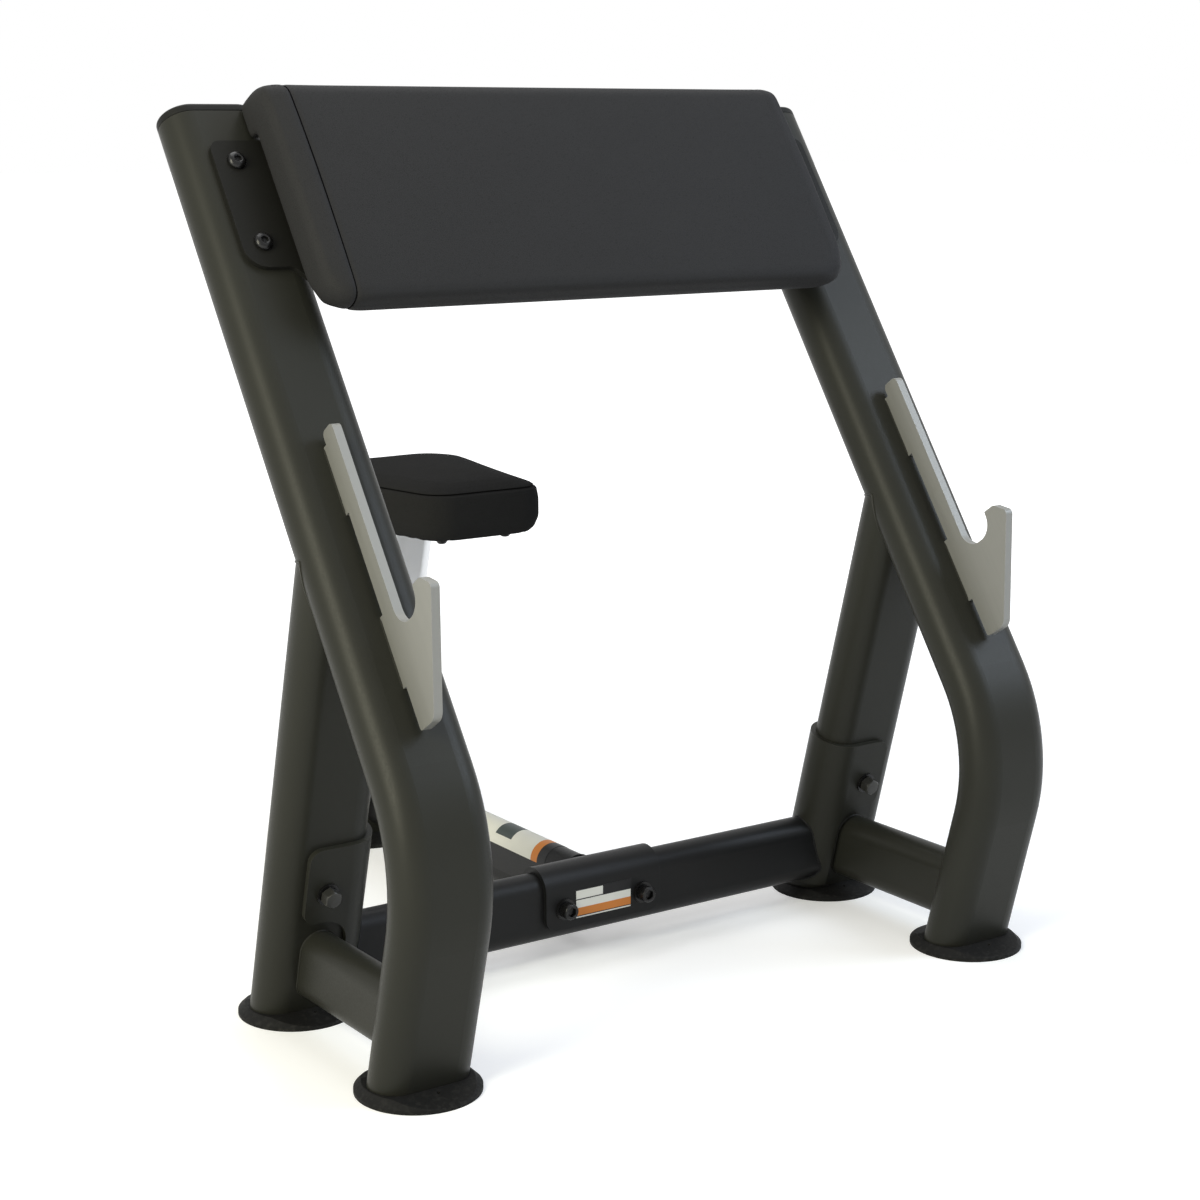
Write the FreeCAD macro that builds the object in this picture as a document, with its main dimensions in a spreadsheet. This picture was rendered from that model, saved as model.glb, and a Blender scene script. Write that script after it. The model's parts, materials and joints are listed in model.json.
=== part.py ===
import FreeCAD, Part
import math
import os
from types import SimpleNamespace

import Sketcher

# A preacher curl bench. Two bent uprights carry a sloping arm pad and a pair of bar hooks,
# and a low beam joins them to a seat that slides up and down on a leaning column.
# Lengths are millimetres and angles degrees. X runs across the bench, Y from the bar side
# back to the seat and Z up, with the origin on the floor at the middle of the bench.

SIZES = (
    # Flat oval tube of the uprights, the rear legs and the seat column
    ("tube_width", 106.0),
    ("tube_depth", 56.0),
    ("tube_wall", 3.0),
    # Smaller flat oval tube of the low beams
    ("beam_height", 78.0),
    ("beam_width", 40.0),
    ("beam_wall", 3.0),
    # Stance of the frame
    ("upright_spacing", 720.0),
    ("leg_spread", 250.5),
    ("column_reach", 751.0),
    ("leg_lean", 15.0),
    ("upright_lean", 35.0),
    ("knee_height", 248.0),
    ("knee_radius", 185.0),
    ("upright_length", 811.5),
    ("beam_level", 63.5),
    ("crossbar_forward", 6.5),
    ("weld_gap", 0.3),
    ("overrun", 20.0),
    # Rubber feet
    ("foot_flange", 10.0),
    ("foot_rim", 4.0),
    ("foot_height", 11.0),
    ("foot_sole", 3.0),
    ("foot_lip", 2.5),
    ("foot_fit", 0.3),
    ("foot_mark_radius", 2.0),
    ("foot_mark_reach", 38.0),
    # Caps in the tops of the uprights
    ("cap_thickness", 10.0),
    ("cap_edge", 4.0),
    ("plug_depth", 20.0),
    ("plug_wall", 3.0),
    ("plug_fit", 0.3),
    # Pressed saddles that clamp the crossbar to the legs and the seat beam to the crossbar
    ("saddle_wall", 6.0),
    ("saddle_fit", 0.3),
    ("saddle_corner", 14.0),
    ("leg_saddle_top", 215.0),
    ("leg_saddle_bottom", 26.0),
    ("leg_saddle_reach", 24.0),
    ("leg_notch_top", 128.0),
    ("leg_notch_gap", 8.0),
    ("leg_bolt_level", 162.0),
    ("centre_saddle_length", 154.0),
    ("centre_saddle_drop", 23.5),
    ("saddle_bolt_spacing", 105.0),
    # Clamp bolts with their washers and nuts
    ("bolt_radius", 6.0),
    ("bolt_head_radius", 9.0),
    ("bolt_head_height", 12.0),
    ("bolt_socket", 10.0),
    ("bolt_socket_depth", 6.0),
    ("bolt_tail", 4.0),
    ("bolt_fit", 0.5),
    ("washer_radius", 12.0),
    ("washer_thickness", 2.5),
    ("nut_width", 18.0),
    ("nut_height", 10.0),
    # Bracket plates that carry the arm pad
    ("bracket_wall", 6.0),
    ("bracket_bottom", 621.0),
    ("bracket_height", 150.0),
    ("bracket_reach", 24.0),
    ("bracket_inner", 110.0),
    ("bracket_step", 20.0),
    ("bracket_step_start", 24.0),
    ("bracket_corner", 24.0),
    ("bracket_top_corner", 12.0),
    ("bracket_bolt_rise", 29.0),
    ("bracket_bolt_spacing", 96.0),
    ("button_radius", 5.0),
    ("button_head_radius", 10.0),
    ("button_head_height", 6.0),
    ("button_edge", 3.5),
    ("button_socket", 7.0),
    ("button_socket_depth", 3.5),
    ("button_grip", 20.0),
    # Arm pad: cushion on a plywood board, held by screws through the bracket plates
    ("pad_length", 668.0),
    ("pad_bottom", 552.0),
    ("pad_top", 815.0),
    ("pad_front", 88.0),
    ("pad_back", 44.0),
    ("pad_crown", 3.0),
    ("pad_bottom_round", 12.0),
    ("pad_top_round", 24.0),
    ("pad_back_round", 22.0),
    ("pad_end_round", 20.0),
    ("lip_bottom", 774.0),
    ("lip_back", 28.5),
    ("lip_round", 5.0),
    ("pad_board_thickness", 15.0),
    ("pad_board_margin", 25.0),
    ("pad_board_corner", 12.0),
    ("board_fit", 0.3),
    ("screw_radius", 3.0),
    ("screw_head_radius", 6.0),
    ("screw_head_height", 3.5),
    ("screw_length", 17.0),
    ("screw_fit", 0.3),
    ("pad_screw_reach", 82.0),
    # Bar hooks: plates welded to the fronts of the uprights by two tabs
    ("hook_thickness", 9.5),
    ("hook_recess", 6.0),
    ("hook_front", 28.5),
    ("hook_top", 433.0),
    ("hook_top_round", 6.0),
    ("upper_tab_top", 420.0),
    ("tab_length", 74.0),
    ("lower_tab_top", 237.0),
    ("cradle_width", 43.4),
    ("cradle_floor", 212.0),
    ("horn_top", 236.0),
    ("horn_nose", 106.0),
    ("horn_nose_level", 222.0),
    ("horn_flare", 2.5),
    ("horn_lip_round", 1.5),
    ("horn_flat", 16.0),
    ("horn_round", 6.0),
    ("hook_heel", 34.5),
    ("hook_heel_level", 116.0),
    ("hook_heel_round", 14.0),
    ("hook_tip_level", 117.0),
    ("hook_tip_round", 3.0),
    # Seat column, its guide bush and its bumper
    ("column_height", 342.0),
    ("bush_length", 60.0),
    ("bush_flange", 4.0),
    ("bush_side", 10.4),
    ("bush_face", 4.4),
    ("slide_fit", 0.3),
    ("bumper_height", 44.0),
    ("guide_length", 40.0),
    ("seat_lift", 150.0),
    ("height_steps", 6.0),
    ("pin_hole_radius", 6.5),
    # Seat
    ("seat_under", 441.0),
    ("seat_forward", 201.0),
    ("seat_length", 308.0),
    ("seat_front_width", 156.0),
    ("seat_rear_width", 264.0),
    ("seat_front_corner", 38.0),
    ("seat_rear_corner", 50.0),
    ("seat_seam", 55.0),
    ("seat_crown", 10.0),
    ("seat_tuck", 12.0),
    ("seat_board_thickness", 15.0),
    ("seat_board_margin", 16.0),
    ("plate_thickness", 6.0),
    ("plate_length", 150.0),
    ("plate_width", 110.0),
    ("plate_corner", 12.0),
    ("plate_bolt_inset", 14.0),
    ("stud_radius", 4.0),
    ("stud_head_radius", 7.0),
    ("stud_head_height", 4.5),
    ("stud_edge", 3.0),
    ("stud_grip", 10.0),
    ("stud_fit", 0.3),
    ("base_stud_spacing", 87.5),
    ("base_stud_inset", 40.0),
    ("base_stud_rear_spacing", 150.0),
    # Index plunger on the back of the seat column
    ("plunger_level", 255.0),
    ("boss_radius", 15.0),
    ("boss_height", 8.0),
    ("barrel_radius", 11.0),
    ("barrel_height", 22.0),
    ("barrel_edge", 2.0),
    ("pin_radius", 6.0),
    ("pin_fit", 0.3),
    ("pin_draw", 12.0),
    ("pin_tip", 1.5),
    ("pin_clear", 0.5),
    ("knob_radius", 21.0),
    ("knob_height", 24.0),
    ("knob_edge", 6.0),
    ("knob_bore_depth", 12.0),
)

# Distance from the end of the arm pad, then how far its front and its other sides draw in there,
# as shares of the end's rounding
PAD_END_SHARES = ((0.0, 0.6, 0.05), (0.25, 0.2, 0.0), (1.0, 0.0, 0.0))
# Height and inset of the seat's outline below its seam, as shares of the seam's height and of the tuck
SEAT_SIDE_SHARES = ((0.0, 1.0), (0.12, 0.45), (0.35, 0.05), (0.75, 0.0), (1.0, 0.15))
# Height and inset of the seat's outline above its seam, as shares of the crown and of the front corners
SEAT_CROWN_SHARES = ((0.45, 0.17), (0.8, 0.52), (1.0, 0.95))
# Part of half the pad's height that its rounded front takes up
PAD_CROWN_SHARE = 0.8
# Part of half the cradle's width that each of its rounded corners takes up
CRADLE_ROUND_SHARE = 0.93
HEXAGON_SIDES = 6

doc = FreeCAD.newDocument("preacher_curl_bench")
sheet = doc.addObject("Spreadsheet::Sheet", "Sizes")
for row, (name, value) in enumerate(SIZES, start=1):
    sheet.set(f"A{row}", name)
    sheet.set(f"B{row}", str(value))
    sheet.setAlias(f"B{row}", name)
doc.recompute()


class Size:
    """A number together with the sheet expression that gives it."""

    def __init__(self, value, text):
        self.value = value
        self.text = text

    def __add__(self, other):
        other = as_size(other)
        return Size(self.value + other.value, f"({self.text} + {other.text})")

    def __sub__(self, other):
        other = as_size(other)
        return Size(self.value - other.value, f"({self.text} - {other.text})")

    def __mul__(self, other):
        other = as_size(other)
        return Size(self.value * other.value, f"({self.text} * {other.text})")

    def __truediv__(self, other):
        other = as_size(other)
        return Size(self.value / other.value, f"({self.text} / {other.text})")

    def __neg__(self):
        return self * -1


def as_size(number):
    return number if isinstance(number, Size) else Size(float(number), f"({float(number)})")


def sine(angle):
    return Size(math.sin(math.radians(angle.value)), f"sin({angle.text})")


def cosine(angle):
    return Size(math.cos(math.radians(angle.value)), f"cos({angle.text})")


def tangent(angle):
    return Size(math.tan(math.radians(angle.value)), f"tan({angle.text})")


ZERO = as_size(0)
dim = SimpleNamespace(**{name: Size(sheet.get(name), f"Sizes.{name}") for name, value in SIZES})
SIDES = (("left", -1), ("right", 1))
nodes = {}


# Helpers that draw bound sketches

def new_body(label):
    body = doc.addObject("PartDesign::Body", "Body")
    body.Label = label
    return body


def new_sketch(body, role, offset=None):
    """Starts a sketch on one of the body's own origin planes, or at an offset from it."""
    sketch = body.newObject("Sketcher::SketchObject", "Sketch")
    plane = next(item for item in body.Origin.OriginFeatures if item.Role == role)
    sketch.AttachmentSupport = [(plane, "")]
    sketch.MapMode = "FlatFace"
    if offset is not None:
        sketch.AttachmentOffset = FreeCAD.Placement(vector(0, 0, offset), FreeCAD.Rotation())
        sketch.setExpression("AttachmentOffset.Base.z", offset.text)
    return sketch


def vector(x, y, z):
    return FreeCAD.Vector(as_size(x).value, as_size(y).value, as_size(z).value)


def bind(sketch, size, kind, *geometry):
    """Adds a dimension to a sketch and ties it to the sheet."""
    index = sketch.addConstraint(Sketcher.Constraint(kind, *geometry, size.value))
    sketch.renameConstraint(index, f"size_{index}")
    sketch.setExpression(f"Constraints.size_{index}", size.text)


def join(sketch, kind, *geometry):
    sketch.addConstraint(Sketcher.Constraint(kind, *geometry))


def hold_point(sketch, geometry, end, x, y):
    """Fixes one point of a sketch at bound distances from its origin."""
    for size, kind, axis in ((x, "DistanceX", -2), (y, "DistanceY", -1)):
        if size.value == 0:
            join(sketch, "PointOnObject", geometry, end, axis)
        else:
            bind(sketch, size, kind, -1, 1, geometry, end)


def draw_circle(sketch, x, y, radius):
    x, y = as_size(x), as_size(y)
    circle = sketch.addGeometry(Part.Circle(vector(x, y, 0), FreeCAD.Vector(0, 0, 1), radius.value))
    bind(sketch, radius, "Radius", circle)
    hold_point(sketch, circle, 3, x, y)


def draw_oval(sketch, width, depth, long_axis="x"):
    """Draws a flat oval about the origin: two straight sides joined by half circles."""
    radius = depth / 2
    reach = (width - depth) / 2
    along = FreeCAD.Vector(1, 0, 0) if long_axis == "x" else FreeCAD.Vector(0, 1, 0)
    across = FreeCAD.Vector(-along.y, along.x, 0)
    far, near = along * reach.value, along * -reach.value
    rise = across * radius.value
    turn = math.atan2(along.y, along.x)
    quarter = math.pi / 2
    far_circle = Part.Circle(far, FreeCAD.Vector(0, 0, 1), radius.value)
    near_circle = Part.Circle(near, FreeCAD.Vector(0, 0, 1), radius.value)
    top, far_end, bottom, near_end = sketch.addGeometry([
        Part.LineSegment(far + rise, near + rise),
        Part.ArcOfCircle(far_circle, turn - quarter, turn + quarter),
        Part.LineSegment(near - rise, far - rise),
        Part.ArcOfCircle(near_circle, turn + quarter, turn + 3 * quarter),
    ])
    join(sketch, "Tangent", bottom, 2, far_end, 1)
    join(sketch, "Tangent", far_end, 2, top, 1)
    join(sketch, "Tangent", top, 2, near_end, 1)
    join(sketch, "Tangent", near_end, 2, bottom, 1)
    join(sketch, "Equal", far_end, near_end)
    join(sketch, "Symmetric", far_end, 3, near_end, 3, -1, 1)
    join(sketch, "Horizontal" if long_axis == "x" else "Vertical", top)
    bind(sketch, radius, "Radius", far_end)
    bind(sketch, reach, "DistanceX" if long_axis == "x" else "DistanceY", -1, 1, far_end, 3)


def draw_outline(sketch, corners):
    """Draws a closed outline through (x, y, radius) corners; a corner with no radius stays sharp."""
    corners = [(as_size(x), as_size(y), radius) for x, y, radius in corners]
    points = [vector(x, y, 0) for x, y, radius in corners]
    count = len(corners)
    entries, exits, centres = [], [], []
    for index, (x, y, radius) in enumerate(corners):
        point = points[index]
        back = (points[index - 1] - point).normalize()
        ahead = (points[(index + 1) % count] - point).normalize()
        half = back.getAngle(ahead) / 2
        trim = radius.value / math.tan(half) if radius else 0
        entries.append(point + back * trim)
        exits.append(point + ahead * trim)
        centres.append(point + (back + ahead).normalize() * (trim / math.cos(half)))
    lines = [
        sketch.addGeometry(Part.LineSegment(exits[index], entries[(index + 1) % count]))
        for index in range(count)
    ]
    for index, (x, y, radius) in enumerate(corners):
        before, after = lines[index - 1], lines[index]
        if not radius:
            join(sketch, "Coincident", before, 2, after, 1)
            hold_point(sketch, after, 1, x, y)
            continue
        entry, leave = entries[index] - centres[index], exits[index] - centres[index]
        left_turn = entry.cross(leave).z > 0
        first, last = (entry, leave) if left_turn else (leave, entry)
        circle = Part.Circle(centres[index], FreeCAD.Vector(0, 0, 1), radius.value)
        start, finish = math.atan2(first.y, first.x), math.atan2(last.y, last.x)
        arc = sketch.addGeometry(Part.ArcOfCircle(circle, start, finish))
        join(sketch, "Tangent", before, 2, arc, 1 if left_turn else 2)
        join(sketch, "Tangent", arc, 2 if left_turn else 1, after, 1)
        bind(sketch, radius, "Radius", arc)
        corner = sketch.addGeometry(Part.Point(points[index]), True)
        join(sketch, "PointOnObject", corner, 1, before)
        join(sketch, "PointOnObject", corner, 1, after)
        hold_point(sketch, corner, 1, x, y)


def draw_hexagon(sketch, width):
    corner = width / cosine(as_size(180 / HEXAGON_SIDES)) / 2
    turns = [as_size(360 / HEXAGON_SIDES * index) for index in range(HEXAGON_SIDES)]
    draw_outline(sketch, [(corner * cosine(turn), corner * sine(turn), None) for turn in turns])


# Helpers that turn sketches into solids

def pad(body, sketch, length, symmetric=False):
    feature = body.newObject("PartDesign::Pad", "Pad")
    feature.Profile = sketch
    feature.Length = length.value
    feature.setExpression("Length", length.text)
    if symmetric:
        feature.SideType = "Symmetric"
    return feature


def pocket(body, sketch, depth, reverse=False):
    """Cuts a sketch into the body and makes sure that it took something away."""
    doc.recompute()
    before = body.Shape.Volume
    feature = body.newObject("PartDesign::Pocket", "Pocket")
    feature.Profile = sketch
    feature.Length = depth.value
    feature.setExpression("Length", depth.text)
    feature.Reversed = reverse
    doc.recompute()
    if body.Shape.Volume >= before:
        raise RuntimeError(f"nothing was cut from {body.Label}")
    return feature


def revolve(body, sketch):
    feature = body.newObject("PartDesign::Revolution", "Revolution")
    feature.Profile = sketch
    feature.ReferenceAxis = (sketch, ["V_Axis"])
    feature.Angle = 360
    return feature


def loft(body, sections):
    feature = body.newObject("PartDesign::AdditiveLoft", "Loft")
    feature.Profile = sections[0]
    feature.Sections = sections[1:]
    feature.Ruled = True
    return feature


def cut(base, tools, label):
    """Takes one or more tools away from a solid."""
    result = doc.addObject("Part::Cut", "Cut")
    result.Base = base
    if len(tools) == 1:
        result.Tool = tools[0]
    else:
        joined = doc.addObject("Part::MultiFuse", "Tools")
        joined.Shapes = tools
        result.Tool = joined
    result.Label = label
    return result


def group(items, label):
    """Gathers like fasteners into one node of separate solids."""
    compound = doc.addObject("Part::Compound", "Group")
    compound.Links = items
    compound.Label = label
    nodes[label] = compound


def cylinder(radius, height, placement):
    rod = doc.addObject("Part::Cylinder", "Rod")
    rod.setExpression("Radius", radius.text)
    rod.setExpression("Height", height.text)
    rod.Placement = placement
    return rod


def slab(length, width, height, placement):
    block = doc.addObject("Part::Box", "Block")
    block.setExpression("Length", length.text)
    block.setExpression("Width", width.text)
    block.setExpression("Height", height.text)
    block.Placement = placement
    return block


# Places worked out from the driving dimensions

bend = dim.leg_lean + dim.upright_lean
shin = dim.knee_height / cosine(dim.leg_lean)
knee_trim = dim.knee_radius * tangent(bend / 2)
knee_forward = dim.knee_height * tangent(dim.leg_lean)
straight_shin = shin - knee_trim
knee_centre = dim.knee_radius * cosine(dim.leg_lean) - straight_shin * sine(dim.leg_lean)
frontmost = knee_centre - dim.knee_radius - dim.tube_depth / 2
foot_radius = dim.tube_width / 2 + dim.foot_flange
foot_shift = dim.foot_height * tangent(dim.leg_lean)
rearmost = dim.column_reach - foot_shift + foot_radius
front_y = -(frontmost + rearmost) / 2
rear_y = front_y + dim.leg_spread
column_y = front_y + dim.column_reach
beam_shift = dim.beam_level * tangent(dim.leg_lean)
crossbar_y = rear_y - beam_shift - dim.crossbar_forward
half_spacing = dim.upright_spacing / 2
tube_half_depth = dim.tube_depth / 2
saddle_depth = dim.tube_depth + (dim.saddle_fit + dim.saddle_wall) * 2
saddle_width = dim.tube_width + (dim.saddle_fit + dim.saddle_wall) * 2
saddle_shift = dim.beam_width / 2 + dim.saddle_fit + dim.saddle_wall
bracket_face = tube_half_depth + dim.bracket_wall
column_fits = dim.tube_wall + dim.plug_fit + dim.slide_fit
stem_width = dim.tube_width - (column_fits + dim.bush_side) * 2
stem_depth = dim.tube_depth - (column_fits + dim.bush_face) * 2

TILT = FreeCAD.Vector(1, 0, 0)
FACING_FRONT = FreeCAD.Rotation(TILT, 90)
FACING_REAR = FreeCAD.Rotation(TILT, -90)
LEVEL = FreeCAD.Rotation()


def place(x, y, z, rotation=LEVEL):
    return FreeCAD.Placement(vector(x, y, z), rotation)


def on_leg(x, y):
    """The frame of a leg or the column: its Z climbs the tube and its -Y faces the front."""
    return place(x, y, 0, FreeCAD.Rotation(TILT, dim.leg_lean.value))


def on_upright(x):
    """The frame of an upright's long straight part, measured up from the knee's corner."""
    leaning = FreeCAD.Rotation(TILT, -dim.upright_lean.value)
    return place(x, front_y - knee_forward, dim.knee_height, leaning)


def under_floor():
    """Everything below the soles' tops, which trims the lower ends of the tubes level."""
    length = dim.upright_spacing * 2
    return slab(length, length, dim.foot_sole + dim.overrun * 2,
                place(-length / 2, -length / 2, -dim.overrun * 2))


def oval_solid(label, width, depth, length, placement, start=None):
    body = new_body(label)
    sketch = new_sketch(body, "XY_Plane", start)
    draw_oval(sketch, width, depth)
    pad(body, sketch, length)
    body.Placement = placement
    return body


def oval_tube(label, width, depth, wall, length, placement, start=None):
    body = new_body(label)
    sketch = new_sketch(body, "XY_Plane", start)
    draw_oval(sketch, width, depth)
    draw_oval(sketch, width - wall * 2, depth - wall * 2)
    pad(body, sketch, length)
    body.Placement = placement
    return body


def leg_envelope(x, y, clearance, length):
    """A leg's outline with some clearance, for shaping what meets it."""
    return oval_solid("leg envelope", dim.tube_width + clearance * 2, dim.tube_depth + clearance * 2,
                      length, on_leg(x, y))


# Fasteners, made along their own Z with the head outward

def bevelled(radius, height, edge):
    """The outer corner of a turned piece, cut back by a bevel where it has one."""
    if edge is None:
        return [(radius, height, None)]
    return [(radius, height - edge, None), (radius - edge, height, None)]


def screw(label, radius, head_radius, head_height, edge, grip, placement, socket=None, socket_depth=None):
    body = new_body(label)
    profile = new_sketch(body, "XZ_Plane")
    draw_outline(profile, [
        (0, -grip, None), (radius, -grip, None), (radius, 0, None),
        (head_radius, 0, None), *bevelled(head_radius, head_height, edge), (0, head_height, None),
    ])
    revolve(body, profile)
    if socket:
        recess = new_sketch(body, "XY_Plane", head_height)
        draw_hexagon(recess, socket)
        pocket(body, recess, socket_depth)
    body.Placement = placement
    return body


def washer(label, placement):
    body = new_body(label)
    sketch = new_sketch(body, "XY_Plane")
    draw_circle(sketch, 0, 0, dim.washer_radius)
    draw_circle(sketch, 0, 0, dim.bolt_radius + dim.bolt_fit)
    pad(body, sketch, dim.washer_thickness)
    body.Placement = placement
    return body


def nut(label, placement):
    body = new_body(label)
    sketch = new_sketch(body, "XY_Plane")
    draw_hexagon(sketch, dim.nut_width)
    draw_circle(sketch, 0, 0, dim.bolt_radius)
    pad(body, sketch, dim.nut_height)
    body.Placement = placement
    return body


def clamp_set(name, frames, half_depth):
    """Bolts from the front through a clamped tube, with a washer at each end and a nut behind."""
    bolts, washers, nuts = [], [], []
    seat = half_depth + dim.washer_thickness
    grip = seat * 2 + dim.nut_height + dim.bolt_tail
    for index, frame in enumerate(frames):
        front = frame.multiply(place(0, -half_depth, 0, FACING_FRONT))
        under_head = frame.multiply(place(0, -seat, 0, FACING_FRONT))
        rear = frame.multiply(place(0, half_depth, 0, FACING_REAR))
        behind = frame.multiply(place(0, seat, 0, FACING_REAR))
        bolts.append(screw(f"{name} bolt {index}", dim.bolt_radius, dim.bolt_head_radius,
                           dim.bolt_head_height, None, grip, under_head,
                           dim.bolt_socket, dim.bolt_socket_depth))
        washers.append(washer(f"{name} front washer {index}", front))
        washers.append(washer(f"{name} rear washer {index}", rear))
        nuts.append(nut(f"{name} nut {index}", behind))
    group(bolts, f"{name}_bolts")
    group(washers, f"{name}_washers")
    group(nuts, f"{name}_nuts")


def clamp_hole(frame, half_depth):
    """The clearance hole that a clamp bolt needs through a saddle and the tube inside it."""
    reach = half_depth + dim.overrun
    return cylinder(dim.bolt_radius + dim.bolt_fit, reach * 2,
                    frame.multiply(place(0, reach, 0, FACING_FRONT)))


# Uprights: one tube each, bent at the knee

def bracket_levels():
    lower = dim.bracket_bottom + dim.bracket_bolt_rise
    return (lower, lower + dim.bracket_bolt_spacing)


def upright(side, sign):
    x = half_spacing * sign
    body = new_body(f"{side} upright tube")
    section = new_sketch(body, "XY_Plane")
    draw_oval(section, dim.tube_width, dim.tube_depth)
    draw_oval(section, dim.tube_width - dim.tube_wall * 2, dim.tube_depth - dim.tube_wall * 2)
    path = new_sketch(body, "YZ_Plane")
    thigh = dim.upright_length - knee_trim
    arc_end = (dim.knee_radius - dim.knee_radius * cosine(bend),
               straight_shin + dim.knee_radius * sine(bend))
    top = (arc_end[0] + thigh * sine(bend), arc_end[1] + thigh * cosine(bend))
    circle = Part.Circle(vector(dim.knee_radius, straight_shin, 0), FreeCAD.Vector(0, 0, 1),
                         dim.knee_radius.value)
    arc_span = Part.ArcOfCircle(circle, math.pi - math.radians(bend.value), math.pi)
    lower = sketch_line(path, (ZERO, ZERO), (ZERO, straight_shin))
    knee = path.addGeometry(arc_span)
    upper = sketch_line(path, arc_end, top)
    join(path, "Coincident", lower, 1, -1, 1)
    join(path, "Vertical", lower)
    join(path, "Tangent", lower, 2, knee, 2)
    join(path, "Tangent", knee, 1, upper, 1)
    bind(path, dim.knee_radius, "Radius", knee)
    bind(path, top[0], "DistanceX", -1, 1, upper, 2)
    bind(path, top[1], "DistanceY", -1, 1, upper, 2)
    sweep = body.newObject("PartDesign::AdditivePipe", "Pipe")
    sweep.Profile = section
    sweep.Spine = path
    body.Placement = on_leg(x, front_y)
    holes = []
    for level in bracket_levels():
        mouth = on_upright(x).multiply(place(0, -tube_half_depth + dim.tube_wall * 2, level, FACING_FRONT))
        holes.append(cylinder(dim.button_radius + dim.bolt_fit, dim.tube_wall * 3, mouth))
    nodes[f"{side}_upright"] = cut(body, [under_floor(), *holes], f"{side}_upright")


def sketch_line(sketch, start, end):
    return sketch.addGeometry(Part.LineSegment(vector(*start, 0), vector(*end, 0)))


# A moulded cap closes the top of each upright

def top_cap(side, sign):
    body = new_body(f"{side}_top_cap")
    lid = new_sketch(body, "XY_Plane", dim.upright_length)
    draw_oval(lid, dim.tube_width, dim.tube_depth)
    crown = pad(body, lid, dim.cap_thickness)
    doc.recompute()
    highest = max(range(len(crown.Shape.Faces)), key=lambda face: crown.Shape.Faces[face].CenterOfMass.z)
    edge = body.newObject("PartDesign::Chamfer", "Edge")
    edge.Base = (crown, [f"Face{highest + 1}"])
    edge.setExpression("Size", dim.cap_edge.text)
    plug = new_sketch(body, "XY_Plane", dim.upright_length - dim.plug_depth)
    inset = dim.tube_wall * 2 + dim.plug_fit * 2
    draw_oval(plug, dim.tube_width - inset, dim.tube_depth - inset)
    bore = inset + dim.plug_wall * 2
    draw_oval(plug, dim.tube_width - bore, dim.tube_depth - bore)
    pad(body, plug, dim.plug_depth)
    body.Placement = on_upright(half_spacing * sign)
    nodes[f"{side}_top_cap"] = body


# Rear legs, mitred into the backs of the uprights

def rear_leg(side, sign):
    x = half_spacing * sign
    slope = sine(dim.leg_lean) + cosine(dim.leg_lean) * tangent(dim.upright_lean)
    length = (dim.leg_spread + knee_forward + dim.knee_height * tangent(dim.upright_lean)) / slope
    tube = oval_tube(f"{side} rear leg tube", dim.tube_width, dim.tube_depth, dim.tube_wall, length,
                     on_leg(x, rear_y))
    mitre = oval_solid("upright envelope", dim.tube_width + dim.weld_gap * 2,
                       dim.tube_depth + dim.weld_gap * 2, dim.upright_length, on_upright(x))
    hole = clamp_hole(leg_bolt_frame(sign), saddle_depth / 2)
    nodes[f"{side}_rear_leg"] = cut(tube, [under_floor(), mitre, hole], f"{side}_rear_leg")


def leg_bolt_frame(sign):
    return on_leg(half_spacing * sign, rear_y).multiply(place(0, 0, dim.leg_bolt_level))


# Low beams along each side, the crossbar and the beam out to the seat column

def beam_along_y(label, x, start, length):
    body = new_body(label)
    sketch = new_sketch(body, "XZ_Plane")
    draw_oval(sketch, dim.beam_height, dim.beam_width, "y")
    draw_oval(sketch, dim.beam_height - dim.beam_wall * 2, dim.beam_width - dim.beam_wall * 2, "y")
    pad(body, sketch, length)
    body.Placement = place(x, start + length, dim.beam_level)
    return body


def side_beam(side, sign):
    x = half_spacing * sign
    beam = beam_along_y(f"{side} side tube", x, front_y - beam_shift, dim.leg_spread)
    ends = [leg_envelope(x, y, dim.weld_gap, dim.knee_height) for y in (front_y, rear_y)]
    nodes[f"{side}_side_beam"] = cut(beam, ends, f"{side}_side_beam")


def crossbar():
    body = new_body("crossbar tube")
    sketch = new_sketch(body, "YZ_Plane")
    draw_oval(sketch, dim.beam_height, dim.beam_width, "y")
    draw_oval(sketch, dim.beam_height - dim.beam_wall * 2, dim.beam_width - dim.beam_wall * 2, "y")
    pad(body, sketch, dim.upright_spacing, symmetric=True)
    body.Placement = place(0, crossbar_y, dim.beam_level)
    clearance = dim.saddle_fit + dim.saddle_wall + dim.weld_gap
    ends = [leg_envelope(half_spacing * sign, rear_y, clearance, dim.knee_height) for side, sign in SIDES]
    holes = [clamp_hole(frame, saddle_shift) for frame in saddle_bolt_frames()]
    nodes["crossbar"] = cut(body, ends + holes, "crossbar")


def seat_beam():
    start = crossbar_y + saddle_shift + dim.weld_gap
    beam = beam_along_y("seat beam tube", 0, start, column_y - beam_shift - start)
    end = leg_envelope(0, column_y, dim.weld_gap, dim.column_height)
    nodes["seat_beam"] = cut(beam, [end], "seat_beam")


# Saddles: channels pressed to the tubes' outlines and bolted through them

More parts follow.
